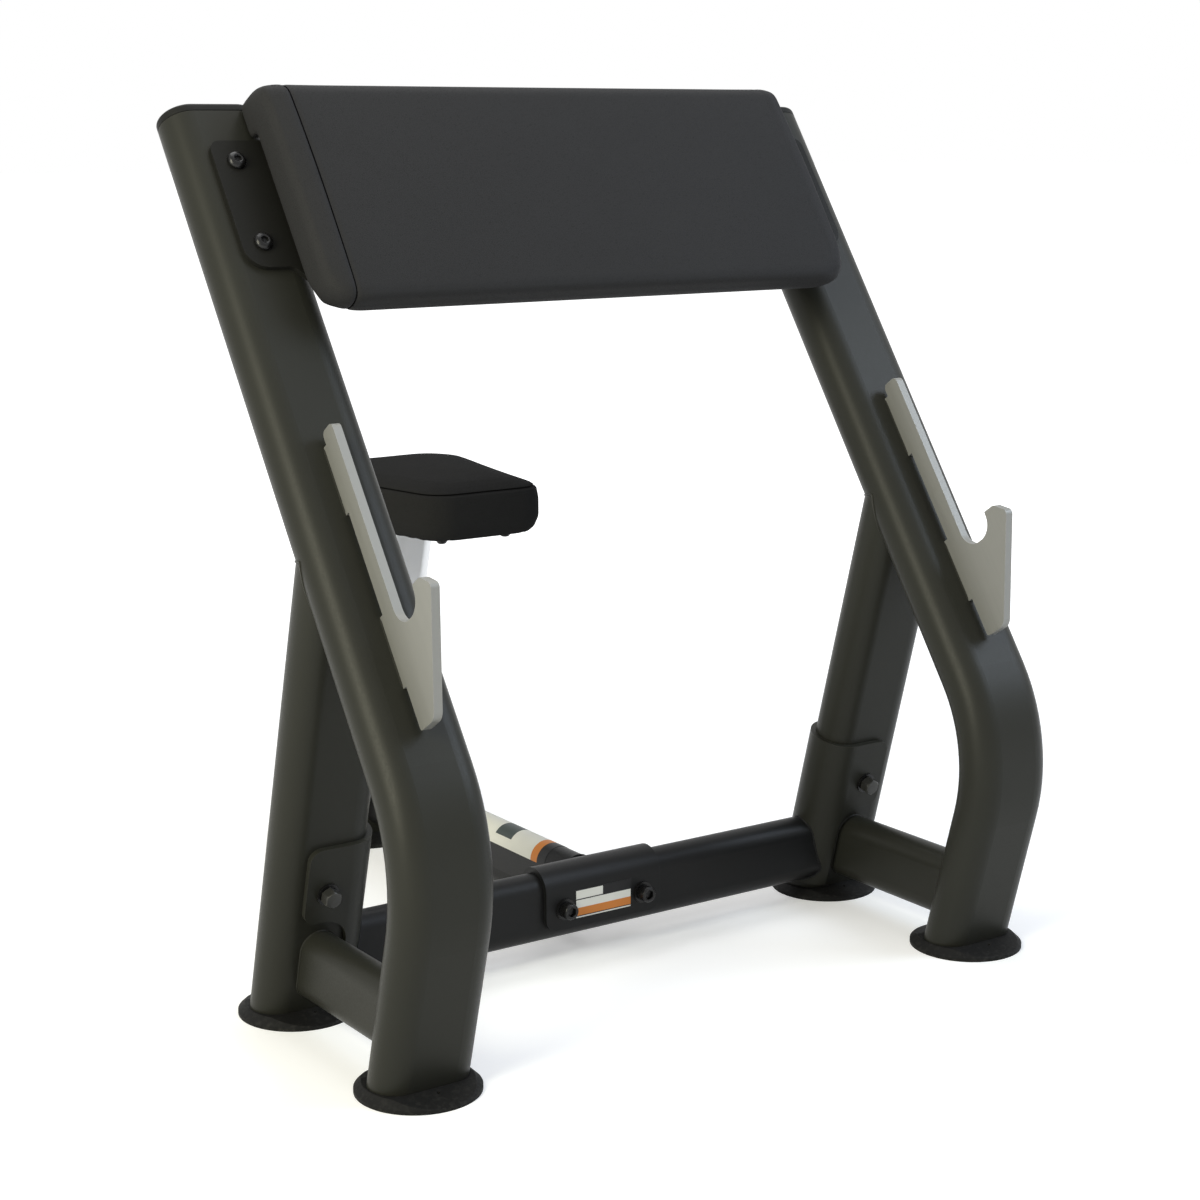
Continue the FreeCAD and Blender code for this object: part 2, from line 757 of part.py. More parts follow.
def draw_channel(sketch, reach, drop, half_depth, wall, long_axis):
    """Draws a channel that opens down its axis: two flanges and a half-round back."""
    outer, inner = half_depth + wall, half_depth
    loops = {}
    for name, radius in (("outer", outer), ("inner", inner)):
        circle = Part.Circle(turned(ZERO, reach, long_axis), FreeCAD.Vector(0, 0, 1), radius.value)
        swing = math.pi / 2 if long_axis == "x" else 0
        arc = sketch.addGeometry(Part.ArcOfCircle(circle, -swing, math.pi - swing))
        low = sketch.addGeometry(Part.LineSegment(
            turned(radius, -drop, long_axis), turned(radius, reach, long_axis)))
        high = sketch.addGeometry(Part.LineSegment(
            turned(-radius, reach, long_axis), turned(-radius, -drop, long_axis)))
        join(sketch, "Tangent", low, 2, arc, 1)
        join(sketch, "Tangent", arc, 2, high, 1)
        join(sketch, "Horizontal" if long_axis == "x" else "Vertical", low)
        bind(sketch, radius, "Radius", arc)
        loops[name] = (low, arc, high)
    for end in (0, 2):
        vertex = 1 if end == 0 else 2
        edge = sketch.addGeometry(Part.LineSegment(
            sketch.getPoint(loops["outer"][end], vertex), sketch.getPoint(loops["inner"][end], vertex)))
        join(sketch, "Coincident", loops["outer"][end], vertex, edge, 1)
        join(sketch, "Coincident", loops["inner"][end], vertex, edge, 2)
        join(sketch, "Vertical" if long_axis == "x" else "Horizontal", edge)
    along, across = ("DistanceX", -1) if long_axis == "x" else ("DistanceY", -2)
    centre = loops["outer"][1]
    bind(sketch, as_size(reach), along, -1, 1, centre, 3)
    join(sketch, "PointOnObject", centre, 3, across)
    join(sketch, "Coincident", loops["inner"][1], 3, centre, 3)
    for end, vertex in ((0, 1), (2, 2)):
        bind(sketch, -drop, along, -1, 1, loops["outer"][end], vertex)


def turned(across, along, long_axis):
    return vector(along, -across, 0) if long_axis == "x" else vector(across, along, 0)


def round_corners(body, feature, radius, places):
    """Rounds the short plate edges whose middles lie at the given (axis, value) places."""
    doc.recompute()
    names = []
    for index, edge in enumerate(feature.Shape.Edges, start=1):
        middle = edge.CenterOfMass
        short = abs(edge.Length - dim.saddle_wall.value) < edge.Length / 100
        found = any(all(abs(getattr(middle, axis) - size.value) < dim.weld_gap.value for axis, size in spot)
                    for spot in places)
        if short and found:
            names.append(f"Edge{index}")
    rounded = body.newObject("PartDesign::Fillet", "Corners")
    rounded.Base = (feature, names)
    rounded.setExpression("Radius", radius.text)
    return rounded


def leg_saddle(side, sign):
    """Wraps the inner half of a rear leg, with both flanges cut back over the side beam."""
    body = new_body(f"{side} leg saddle shell")
    section = new_sketch(body, "XY_Plane", dim.leg_saddle_bottom)
    straight = (dim.tube_width - dim.tube_depth) / 2
    draw_channel(section, straight, dim.leg_saddle_reach, tube_half_depth + dim.saddle_fit,
                 dim.saddle_wall, "x")
    pad(body, section, dim.leg_saddle_top - dim.leg_saddle_bottom)
    notch = new_sketch(body, "XZ_Plane", saddle_depth)
    inner = dim.beam_width / 2 + dim.leg_notch_gap
    low, outer = dim.leg_saddle_bottom - dim.overrun, -dim.leg_saddle_reach - dim.overrun
    draw_outline(notch, [
        (outer, low, None), (inner, low, None),
        (inner, dim.leg_notch_top, inner), (outer, dim.leg_notch_top, None),
    ])
    opened = pocket(body, notch, saddle_depth * 2)
    round_corners(body, opened, dim.saddle_corner, [
        (("x", -dim.leg_saddle_reach), ("z", dim.leg_saddle_top)),
        (("x", -dim.leg_saddle_reach), ("z", dim.leg_notch_top)),
    ])
    facing = FreeCAD.Rotation(FreeCAD.Vector(0, 0, 1), 0 if sign < 0 else 180)
    body.Placement = on_leg(half_spacing * sign, rear_y).multiply(place(0, 0, 0, facing))
    hole = clamp_hole(leg_bolt_frame(sign), saddle_depth / 2)
    nodes[f"{side}_leg_saddle"] = cut(body, [hole], f"{side}_leg_saddle")


def saddle_bolt_frames():
    return [place(dim.saddle_bolt_spacing * sign / 2, crossbar_y, dim.beam_level) for side, sign in SIDES]


def centre_saddle():
    """Hooks over the middle of the crossbar; the seat beam is welded to its rear flange."""
    body = new_body("centre saddle shell")
    section = new_sketch(body, "YZ_Plane")
    straight = (dim.beam_height - dim.beam_width) / 2
    draw_channel(section, straight, dim.centre_saddle_drop, dim.beam_width / 2 + dim.saddle_fit,
                 dim.saddle_wall, "y")
    shell = pad(body, section, dim.centre_saddle_length, symmetric=True)
    round_corners(body, shell, dim.saddle_corner, [
        (("x", dim.centre_saddle_length * sign / 2), ("z", -dim.centre_saddle_drop)) for side, sign in SIDES
    ])
    body.Placement = place(0, crossbar_y, dim.beam_level)
    holes = [clamp_hole(frame, saddle_shift) for frame in saddle_bolt_frames()]
    nodes["centre_saddle"] = cut(body, holes, "centre_saddle")


# Rubber feet: a disc that rises to the tube standing in it

def foot(label, x, y):
    body = new_body(f"{label} disc")
    profile = new_sketch(body, "XZ_Plane")
    collar = dim.tube_width / 2 + dim.foot_lip
    draw_outline(profile, [
        (0, 0, None), (foot_radius, 0, None), (foot_radius, dim.foot_rim, None),
        (collar, dim.foot_height, None), (0, dim.foot_height, None),
    ])
    revolve(body, profile)
    mark = new_sketch(body, "XY_Plane", dim.foot_height)
    draw_circle(mark, 0, -dim.foot_mark_reach, dim.foot_mark_radius)
    pocket(body, mark, dim.foot_height - dim.foot_rim)
    centre_y = y - foot_shift
    body.Placement = place(x, centre_y, 0)
    run = foot_radius - tube_half_depth - dim.foot_lip
    slope = math.degrees(math.atan2((dim.foot_height - dim.foot_rim).value, run.value))
    width = foot_radius * 2
    slopes = []
    for sign, turn in ((-1, 0), (1, 180)):
        facing = FreeCAD.Rotation(FreeCAD.Vector(0, 0, 1), turn).multiply(FreeCAD.Rotation(TILT, slope))
        edge = place(x + foot_radius * sign, centre_y + foot_radius * sign, dim.foot_rim, facing)
        slopes.append(slab(width, width, dim.foot_height, edge))
    socket = leg_envelope(x, y, dim.foot_fit, dim.foot_height + dim.overrun)
    recess = cut(socket, [under_floor()], f"{label} recess")
    nodes[label] = cut(body, [recess, *slopes], label)


# Brackets, board and cushion of the arm pad, in the frame of the uprights

def pad_bracket(side, sign):
    """A plate on the front of the upright that reaches inward behind the arm pad."""
    body = new_body(f"{side} bracket plate")
    sketch = new_sketch(body, "XZ_Plane", tube_half_depth)
    outer, inner = dim.bracket_reach * sign, -dim.bracket_inner * sign
    top = dim.bracket_bottom + dim.bracket_height
    step = dim.bracket_step_start + dim.bracket_step
    low = dim.bracket_bottom - dim.bracket_step
    draw_outline(sketch, [
        (outer, dim.bracket_bottom, dim.bracket_corner),
        (outer, top, dim.bracket_top_corner),
        (inner, top, dim.bracket_top_corner),
        (inner, low, dim.bracket_top_corner),
        (-step * sign, low, dim.bracket_top_corner),
        (-dim.bracket_step_start * sign, dim.bracket_bottom, dim.bracket_top_corner),
    ])
    pad(body, sketch, dim.bracket_wall)
    x = half_spacing * sign
    body.Placement = on_upright(x)
    holes = []
    for level in bracket_levels():
        for across, radius in ((ZERO, dim.button_radius + dim.bolt_fit),
                               (-dim.pad_screw_reach * sign, dim.screw_radius + dim.screw_fit)):
            start = place(across, -tube_half_depth + dim.bracket_wall, level, FACING_FRONT)
            holes.append(cylinder(radius, dim.bracket_wall * 3, on_upright(x).multiply(start)))
    nodes[f"{side}_pad_bracket"] = cut(body, holes, f"{side}_pad_bracket")


def bracket_fasteners():
    bolts, screws = [], []
    for side, sign in SIDES:
        frame = on_upright(half_spacing * sign)
        for level in bracket_levels():
            seat = frame.multiply(place(0, -bracket_face, level, FACING_FRONT))
            bolts.append(screw(f"{side} bracket bolt", dim.button_radius, dim.button_head_radius,
                               dim.button_head_height, dim.button_edge, dim.button_grip, seat,
                               dim.button_socket, dim.button_socket_depth))
            behind = frame.multiply(place(-dim.pad_screw_reach * sign, -tube_half_depth, level, FACING_REAR))
            screws.append(screw(f"{side} pad screw", dim.screw_radius, dim.screw_head_radius,
                                dim.screw_head_height, None, dim.screw_length, behind))
    group(bolts, "bracket_bolts")
    group(screws, "arm_pad_screws")


def board_block(label, growth):
    """The arm pad's board, or with some growth the recess that it fits."""
    body = new_body(label)
    sketch = new_sketch(body, "XZ_Plane", bracket_face)
    half = dim.pad_length / 2 - dim.pad_board_margin + growth
    low = dim.pad_bottom + dim.pad_board_margin - growth
    high = dim.lip_bottom - dim.lip_round + growth
    corner = dim.pad_board_corner + growth
    draw_outline(sketch, [
        (-half, low, corner), (half, low, corner), (half, high, corner), (-half, high, corner),
    ])
    pad(body, sketch, dim.pad_board_thickness + growth)
    body.Placement = on_upright(0)
    return body


def arm_pad_board():
    board = board_block("arm pad board blank", ZERO)
    holes = []
    for side, sign in SIDES:
        frame = on_upright(half_spacing * sign)
        for level in bracket_levels():
            start = place(-dim.pad_screw_reach * sign, -tube_half_depth, level, FACING_FRONT)
            holes.append(cylinder(dim.screw_radius, dim.screw_length, frame.multiply(start)))
    nodes["arm_pad_board"] = cut(board, holes, "arm_pad_board")


def end_stations(length, rounding):
    """Distances along a cushion from end to end, with how far its front and other sides draw in there."""
    first = [(-length / 2 + rounding * along, rounding * front, rounding * edge)
             for along, front, edge in PAD_END_SHARES]
    return first + [(-along, front, edge) for along, front, edge in reversed(first)]


def arm_pad_cushion():
    """A firm slab, crowned along its front and rounded at its ends, with a lip over the board's top."""
    body = new_body("arm pad slab")
    middle = (dim.pad_bottom + dim.pad_top) / 2
    sections = []
    for x, draw_in, inset in end_stations(dim.pad_length, dim.pad_end_round):
        sketch = new_sketch(body, "YZ_Plane", x)
        low, high = dim.pad_bottom + inset, dim.pad_top - inset
        front, back = -dim.pad_front + draw_in, -dim.pad_back
        half_height = (high - low) / 2
        crown_radius = half_height * PAD_CROWN_SHARE * half_height / dim.pad_crown / 2
        draw_outline(sketch, [
            (back, low, dim.pad_back_round), (back, high, dim.lip_round), (front, high, dim.pad_top_round),
            (front - dim.pad_crown, middle, crown_radius), (front, low, dim.pad_bottom_round),
        ])
        sections.append(sketch)
    loft(body, sections)
    body.Placement = on_upright(0)
    lip = new_body("arm pad lip")
    rolls = []
    for x, draw_in, inset in end_stations(dim.pad_length, dim.pad_end_round):
        sketch = new_sketch(lip, "YZ_Plane", x)
        low, high = dim.lip_bottom, dim.pad_top - inset
        front, back = -dim.pad_back - dim.lip_round, -dim.lip_back
        draw_outline(sketch, [
            (back, low, dim.lip_round), (back, high, dim.lip_round), (front, high, None), (front, low, None),
        ])
        rolls.append(sketch)
    loft(lip, rolls)
    lip.Placement = on_upright(0)
    whole = doc.addObject("Part::Fuse", "Fuse")
    whole.Base = body
    whole.Tool = lip
    recess = board_block("arm pad recess", dim.board_fit)
    nodes["arm_pad_cushion"] = cut(whole, [recess], "arm_pad_cushion")


# Bar hooks

def bar_hook(side, sign):
    """A plate with a cradle for the bar, standing on its edge against the upright."""
    body = new_body(f"{side}_bar_hook")
    sketch = new_sketch(body, "YZ_Plane")
    face = -tube_half_depth
    root = face - dim.hook_recess
    front = face - dim.hook_front
    horn = front - dim.cradle_width
    lip = horn - dim.horn_flare
    nose = face - dim.horn_nose
    cradle_round = dim.cradle_width * CRADLE_ROUND_SHARE / 2
    upper_tab_end = dim.upper_tab_top - dim.tab_length
    lower_tab_end = dim.lower_tab_top - dim.tab_length
    draw_outline(sketch, [
        (root, dim.hook_top, dim.hook_top_round),
        (front, dim.hook_top, dim.hook_top_round),
        (front, dim.cradle_floor, cradle_round),
        (horn, dim.cradle_floor, cradle_round),
        (lip, dim.horn_top, dim.horn_lip_round),
        (lip - dim.horn_flat, dim.horn_top, dim.horn_round),
        (nose, dim.horn_nose_level, dim.horn_round),
        (face - dim.hook_heel, dim.hook_heel_level, dim.hook_heel_round),
        (root, dim.hook_tip_level, dim.hook_tip_round),
        (root, lower_tab_end, None),
        (face, lower_tab_end, None),
        (face, dim.lower_tab_top, None),
        (root, dim.lower_tab_top, None),
        (root, upper_tab_end, None),
        (face, upper_tab_end, None),
        (face, dim.upper_tab_top, None),
        (root, dim.upper_tab_top, None),
    ])
    pad(body, sketch, dim.hook_thickness, symmetric=True)
    body.Placement = on_upright(half_spacing * sign)
    nodes[f"{side}_bar_hook"] = body


# Seat column with its guide bush and the bumper that the stem comes down on

def seat_column():
    frame = on_leg(0, column_y)
    tube = oval_tube("column tube", dim.tube_width, dim.tube_depth, dim.tube_wall, dim.column_height, frame)
    mouth = frame.multiply(place(0, tube_half_depth - dim.tube_wall * 2, dim.plunger_level, FACING_REAR))
    hole = cylinder(dim.pin_radius + dim.pin_fit, dim.tube_wall * 3, mouth)
    nodes["seat_column"] = cut(tube, [under_floor(), hole], "seat_column")

    inset = dim.tube_wall * 2 + dim.plug_fit * 2
    bush = new_body("column_bush")
    sleeve = new_sketch(bush, "XY_Plane", dim.column_height - dim.bush_length)
    draw_oval(sleeve, dim.tube_width - inset, dim.tube_depth - inset)
    draw_oval(sleeve, stem_width + dim.slide_fit * 2, stem_depth + dim.slide_fit * 2)
    pad(bush, sleeve, dim.bush_length)
    flange = new_sketch(bush, "XY_Plane", dim.column_height)
    draw_oval(flange, dim.tube_width, dim.tube_depth)
    draw_oval(flange, stem_width + dim.slide_fit * 2, stem_depth + dim.slide_fit * 2)
    pad(bush, flange, dim.bush_flange)
    bush.Placement = frame
    nodes["column_bush"] = bush

    block = oval_solid("bumper block", dim.tube_width - inset, dim.tube_depth - inset,
                       dim.bumper_height, frame)
    nodes["stem_bumper"] = cut(block, [under_floor()], "stem_bumper")


# Sliding stem, with a row of pin holes down its back

def seat_stem():
    frame = on_leg(0, column_y)
    bottom = dim.bumper_height + dim.slide_fit
    top_level = dim.seat_under - dim.plate_thickness
    length = top_level / cosine(dim.leg_lean) + dim.overrun - bottom
    body = oval_tube("stem tube", stem_width, stem_depth, dim.beam_wall, length, frame, bottom)
    holes = new_sketch(body, "XZ_Plane")
    pitch = dim.seat_lift / dim.height_steps
    for step in range(round(dim.height_steps.value) + 1):
        draw_circle(holes, 0, dim.plunger_level - pitch * step, dim.pin_hole_radius)
    pocket(body, holes, stem_depth)
    span = dim.column_reach
    above = slab(span, span, span, place(-span / 2, column_y - span, top_level))
    nodes["seat_stem"] = cut(body, [above], "seat_stem")

    guide = new_body("stem_guide")
    ring = new_sketch(guide, "XY_Plane", bottom)
    inset = (dim.tube_wall + dim.slide_fit) * 2
    draw_oval(ring, dim.tube_width - inset, dim.tube_depth - inset)
    draw_oval(ring, stem_width, stem_depth)
    pad(guide, ring, dim.guide_length)
    guide.Placement = frame
    nodes["stem_guide"] = guide


# Seat: a plate on the stem, a board, and a cushion wrapped round the board

def seat_origin(height):
    """Where the stem's axis passes the seat's underside, which the seat is measured from."""
    return place(0, column_y - dim.seat_under * tangent(dim.leg_lean), height)


def draw_seat(sketch, inset):
    """The seat's plan: narrow at the front, wide behind, with rounded corners."""
    front, rear = -dim.seat_forward + inset, dim.seat_length - dim.seat_forward - inset
    narrow, wide = dim.seat_front_width / 2 - inset, dim.seat_rear_width / 2 - inset
    front_corner = dim.seat_front_corner - inset / 2
    rear_corner = dim.seat_rear_corner - inset / 2
    draw_outline(sketch, [
        (-narrow, front, front_corner), (narrow, front, front_corner),
        (wide, rear, rear_corner), (-wide, rear, rear_corner),
    ])


def seat_board_block(label, growth):
    body = new_body(label)
    sketch = new_sketch(body, "XY_Plane")
    draw_seat(sketch, dim.seat_board_margin - growth)
    pad(body, sketch, dim.seat_board_thickness + growth)
    body.Placement = seat_origin(dim.seat_under)
    return body


def seat_stud_places():
    """Stud positions under the seat: four through the plate, then four into the board alone."""
    plate_x = dim.plate_width / 2 - dim.plate_bolt_inset
    plate_y = dim.plate_length / 2 - dim.plate_bolt_inset
    plate = [(plate_x * sign, plate_y * end) for side, sign in SIDES for end in (-1, 1)]
    front = dim.base_stud_inset - dim.seat_forward
    rear = dim.seat_length - dim.seat_forward - dim.base_stud_inset
    board = [(dim.base_stud_spacing * sign / 2, front) for side, sign in SIDES]
    board += [(dim.base_stud_rear_spacing * sign / 2, rear) for side, sign in SIDES]
    return plate, board


def seat():
    plate_studs, board_studs = seat_stud_places()
    plate_level = dim.seat_under - dim.plate_thickness

    plate = new_body("seat_plate")
    outline = new_sketch(plate, "XY_Plane")
    x, y = dim.plate_width / 2, dim.plate_length / 2
    corner = dim.plate_corner
    draw_outline(outline, [(-x, -y, corner), (x, -y, corner), (x, y, corner), (-x, y, corner)])
    for stud_x, stud_y in plate_studs:
        draw_circle(outline, stud_x, stud_y, dim.stud_radius + dim.stud_fit)
    pad(plate, outline, dim.plate_thickness)
    plate.Placement = seat_origin(plate_level)
    nodes["seat_plate"] = plate

    downward = FreeCAD.Rotation(TILT, 180)
    groups = (("seat_bolts", plate_studs, plate_level, dim.plate_thickness + dim.stud_grip),
              ("seat_base_studs", board_studs, dim.seat_under, dim.stud_grip))
    holes = []
    for label, studs, level, grip in groups:
        screws = []
        for stud_x, stud_y in studs:
            at = seat_origin(level).multiply(place(stud_x, stud_y, 0, downward))
            screws.append(screw(f"{label} stud", dim.stud_radius, dim.stud_head_radius,
                                dim.stud_head_height, dim.stud_edge, grip, at))
            holes.append(cylinder(dim.stud_radius, dim.stud_grip,
                                  seat_origin(dim.seat_under).multiply(place(stud_x, stud_y, 0))))
        group(screws, label)
    nodes["seat_board"] = cut(seat_board_block("seat board blank", ZERO), holes, "seat_board")

    shell = new_body("seat cushion blank")
    levels = [(dim.seat_seam * rise, dim.seat_tuck * inset) for rise, inset in SEAT_SIDE_SHARES]
    levels += [(dim.seat_seam + dim.seat_crown * rise, dim.seat_front_corner * inset)
               for rise, inset in SEAT_CROWN_SHARES]
    sections = []
    for rise, inset in levels:
        sketch = new_sketch(shell, "XY_Plane", rise)
        draw_seat(sketch, inset)
        sections.append(sketch)
    loft(shell, sections)
    shell.Placement = seat_origin(dim.seat_under)
    recess = seat_board_block("seat recess", dim.board_fit)
    nodes["seat_cushion"] = cut(shell, [recess], "seat_cushion")


# Index plunger: a boss and barrel on the column's back, and a pin with a pull knob, drawn out

def plunger():
    frame = on_leg(0, column_y).multiply(place(0, tube_half_depth, dim.plunger_level, FACING_REAR))
    end = dim.boss_height + dim.barrel_height
    bore = dim.pin_radius + dim.pin_fit
    housing = new_body("plunger_housing")
    profile = new_sketch(housing, "XZ_Plane")
    draw_outline(profile, [
        (bore, 0, None), (dim.boss_radius, 0, None), (dim.boss_radius, dim.boss_height, None),
        (dim.barrel_radius, dim.boss_height, None), *bevelled(dim.barrel_radius, end, dim.barrel_edge),
        (bore, end, None),
    ])
    revolve(housing, profile)
    housing.Placement = frame
    nodes["plunger_housing"] = housing

    base = end + dim.pin_draw + dim.pin_clear
    pin = new_body("plunger_pin")
    profile = new_sketch(pin, "XZ_Plane")
    top = base + dim.knob_bore_depth
    draw_outline(profile, [
        (0, -dim.pin_clear, None), (dim.pin_radius - dim.pin_tip, -dim.pin_clear, None),
        (dim.pin_radius, dim.pin_tip - dim.pin_clear, None), (dim.pin_radius, top, None), (0, top, None),
    ])
    revolve(pin, profile)
    pin.Placement = frame
    nodes["plunger_pin"] = pin

    knob = new_body("pull_knob")
    profile = new_sketch(knob, "XZ_Plane")
    crest = base + dim.knob_height
    draw_outline(profile, [
        (dim.pin_radius, base, None), (dim.barrel_radius, base, None),
        (dim.knob_radius, base + dim.knob_height / 2, None),
        *bevelled(dim.knob_radius, crest, dim.knob_edge),
        (0, crest, None), (0, top, None), (dim.pin_radius, top, None),
    ])
    revolve(knob, profile)
    knob.Placement = frame
    nodes["pull_knob"] = knob


for side, sign in SIDES:
    upright(side, sign)
    top_cap(side, sign)
    rear_leg(side, sign)
    side_beam(side, sign)
    leg_saddle(side, sign)
    foot(f"front_{side}_foot", half_spacing * sign, front_y)
    foot(f"rear_{side}_foot", half_spacing * sign, rear_y)
    pad_bracket(side, sign)
    bar_hook(side, sign)
foot("column_foot", ZERO, column_y)
crossbar()
seat_beam()
centre_saddle()
clamp_set("leg", [leg_bolt_frame(sign) for side, sign in SIDES], saddle_depth / 2)
clamp_set("saddle", saddle_bolt_frames(), saddle_shift)
bracket_fasteners()
arm_pad_board()
arm_pad_cushion()
seat_column()
seat_stem()
seat()
plunger()
doc.recompute()

for item in doc.Objects:
    if "Invalid" in item.State or "Error" in item.State:
        raise RuntimeError(f"{item.Label} failed: {item.State}")
os.makedirs("parts", exist_ok=True)
for node, item in nodes.items():
    if item.Shape.isNull() or not item.Shape.isValid():
        raise RuntimeError(f"{node} has no valid shape")
for node, item in nodes.items():
    item.Shape.exportStep(f"parts/{node}.step")
print(len(nodes), "nodes,", sum(len(item.Shape.Solids) for item in nodes.values()), "solids")
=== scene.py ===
# %% [markdown]
# # A preacher curl bench
# The bench is a welded and bolted steel frame with a sloping arm pad, two bar hooks and a
# sliding seat. Its solids come packed from CAD, and this lesson dresses them: finishes for the
# steel, rubber and plastic, soft upholstery in place of the plain cushions, and the small things
# that only show up close, such as weld beads, knurled bolt heads and seams.

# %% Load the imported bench
import json
from math import cos, pi, radians, sin, sqrt, tan

import bmesh
import bpy
import numpy as np
from mathutils import Matrix, Vector
from mathutils.bvhtree import BVHTree


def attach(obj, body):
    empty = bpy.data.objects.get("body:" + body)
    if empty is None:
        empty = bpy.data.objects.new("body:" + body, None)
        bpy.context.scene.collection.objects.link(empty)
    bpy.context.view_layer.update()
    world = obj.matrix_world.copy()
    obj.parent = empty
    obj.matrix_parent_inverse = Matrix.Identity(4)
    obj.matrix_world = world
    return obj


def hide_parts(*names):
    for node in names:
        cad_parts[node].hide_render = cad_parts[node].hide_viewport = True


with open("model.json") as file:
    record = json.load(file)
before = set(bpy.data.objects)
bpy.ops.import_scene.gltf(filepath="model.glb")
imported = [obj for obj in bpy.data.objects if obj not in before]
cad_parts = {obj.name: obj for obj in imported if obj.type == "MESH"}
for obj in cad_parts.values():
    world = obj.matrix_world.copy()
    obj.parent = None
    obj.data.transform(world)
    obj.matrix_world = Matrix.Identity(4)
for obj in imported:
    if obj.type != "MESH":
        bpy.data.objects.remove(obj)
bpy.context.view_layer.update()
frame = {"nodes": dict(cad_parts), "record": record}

nodes = frame["nodes"]

# %% [markdown]
# ## The bench's own frames
# Tubes on this bench lean at two angles, 35 degrees for the uprights and 15 for the legs and the
# seat column. Every later piece could be placed by world coordinates, but a bolt or a seam is far
# easier to describe along the tube that carries it. So two small functions give a matrix whose Z
# climbs the tube and whose -Y faces the front.

# %% Frames of the leaning tubes
MM = 0.001
UPRIGHT_LEAN = radians(35)
LEG_LEAN = radians(15)
HALF_SPACING = 360 * MM
FRONT_LEG_Y, REAR_LEG_Y, COLUMN_Y = -366.3125 * MM, -115.8125 * MM, 384.6875 * MM
KNEE_Y, KNEE_Z = -432.7639 * MM, 248 * MM
# In millimetres: the large tubes' flat oval, and the smaller one of the beams and the stem.
TUBE_WIDTH, TUBE_DEPTH, UPRIGHT_TOP = 106.0, 56.0, 811.5
BEAM_WIDTH, BEAM_DEPTH, BEAM_Z, CROSSBAR_Y = 78.0, 40.0, 63.5, -139.3273
SIDES = (-1, 1)
FACING_FRONT = Matrix.Rotation(pi / 2, 4, "X")
FACING_REAR = Matrix.Rotation(-pi / 2, 4, "X")
FACING_DOWN = Matrix.Rotation(pi, 4, "X")


def upright_frame(x):
    return Matrix.Translation((x, KNEE_Y, KNEE_Z)) @ Matrix.Rotation(-UPRIGHT_LEAN, 4, "X")


def leg_frame(x, y):
    return Matrix.Translation((x, y, 0)) @ Matrix.Rotation(LEG_LEAN, 4, "X")


def spot(x, y, z):
    """A point given in millimetres."""
    return Vector((x * MM, y * MM, z * MM))


def at(x, y, z):
    """A shift given in millimetres."""
    return Matrix.Translation(spot(x, y, z))


print("upright top at", tuple(round(x, 3) for x in (upright_frame(0) @ at(0, 0, UPRIGHT_TOP)).translation))

# %% [markdown]
# ## Camera
# A photograph of a product is usually taken from a few metres away with a long lens, which keeps
# upright edges nearly parallel. The camera here stands at the front left, about three metres off
# and at the height of the pad, and looks down a little. Its angle is written as a turn and a tilt,
# because those are easier to read and adjust than a quaternion.

# %% Stand the camera
LENS_MM, SENSOR_MM = 69.745, 36.0
CAMERA_PLACE = Vector((-1.4144, -2.2068, 0.9157))
TURN, TILT = radians(34.61), radians(11.58)


def add_object(name, data):
    made = bpy.data.objects.new(name, data)
    bpy.context.scene.collection.objects.link(made)
    return made


def stand(name, data, place, direction):
    """Puts a camera or a lamp at a place and turns it to a direction."""
    made = add_object(name, data)
    made.location = place
    made.rotation_mode = "QUATERNION"
    made.rotation_quaternion = direction.to_track_quat("-Z", "Y")
    return made


camera_data = bpy.data.cameras.new("studio_camera")
camera_data.lens, camera_data.sensor_width = LENS_MM, SENSOR_MM
camera_data.dof.use_dof = False
looking = Vector((sin(TURN) * cos(TILT), cos(TURN) * cos(TILT), -sin(TILT)))
bpy.context.scene.camera = stand("studio_camera", camera_data, CAMERA_PLACE, looking)
bpy.context.scene.view_settings.view_transform = "Standard"
print("camera looks along", tuple(round(x, 3) for x in looking))

# %% [markdown]
# ## Node helpers
# Materials in Blender are graphs. Making each node by hand takes four or five lines, so one helper
# adds a node and fills its inputs, either with a value or with a link from another socket. A
# second helper opens a node group with named sockets, for effects that several finishes share.

# %% Helpers for node trees

def put(tree, kind, inputs=None, **settings):
    """Adds a node; an input that is given a socket is linked, any other value is set."""
    made = tree.nodes.new(kind)
    for name, value in settings.items():
        setattr(made, name, value)
    for name, value in (inputs or {}).items():
        if isinstance(value, bpy.types.NodeSocket):
            tree.links.new(value, made.inputs[name])
        else:
            made.inputs[name].default_value = value
    return made


FLOAT, COLOUR, VECTOR = "NodeSocketFloat", "NodeSocketColor", "NodeSocketVector"


def open_group(name, inputs, outputs):
    """Starts a shader node group with named sockets and gives its entries."""
    tree = bpy.data.node_groups.new(name, "ShaderNodeTree")
    for in_out, sockets in (("INPUT", inputs), ("OUTPUT", outputs)):
        for label, kind in sockets.items():
            tree.interface.new_socket(label, in_out=in_out, socket_type=kind)
    return tree, tree.nodes.new("NodeGroupInput").outputs


def close_group(tree, outputs):
    put(tree, "NodeGroupOutput", outputs)
    return tree


def place_group(tree, group, inputs):
    return put(tree, "ShaderNodeGroup", inputs, node_tree=group).outputs


print("node helpers ready")

# %% Short names for common nodes

def mix_colour(tree, factor, first, second):
    """A colour between two others; in this node the colour sockets are numbers 6, 7 and output 2."""
    return put(tree, "ShaderNodeMix", {0: factor, 6: first, 7: second}, data_type="RGBA").outputs[2]


def math_node(tree, operation, first, second=0.0):
    return put(tree, "ShaderNodeMath", {0: first, 1: second}, operation=operation).outputs[0]


def times(tree, first, second):
    return math_node(tree, "MULTIPLY", first, second)


def vector_node(tree, operation, inputs):
    return put(tree, "ShaderNodeVectorMath", inputs, operation=operation).outputs


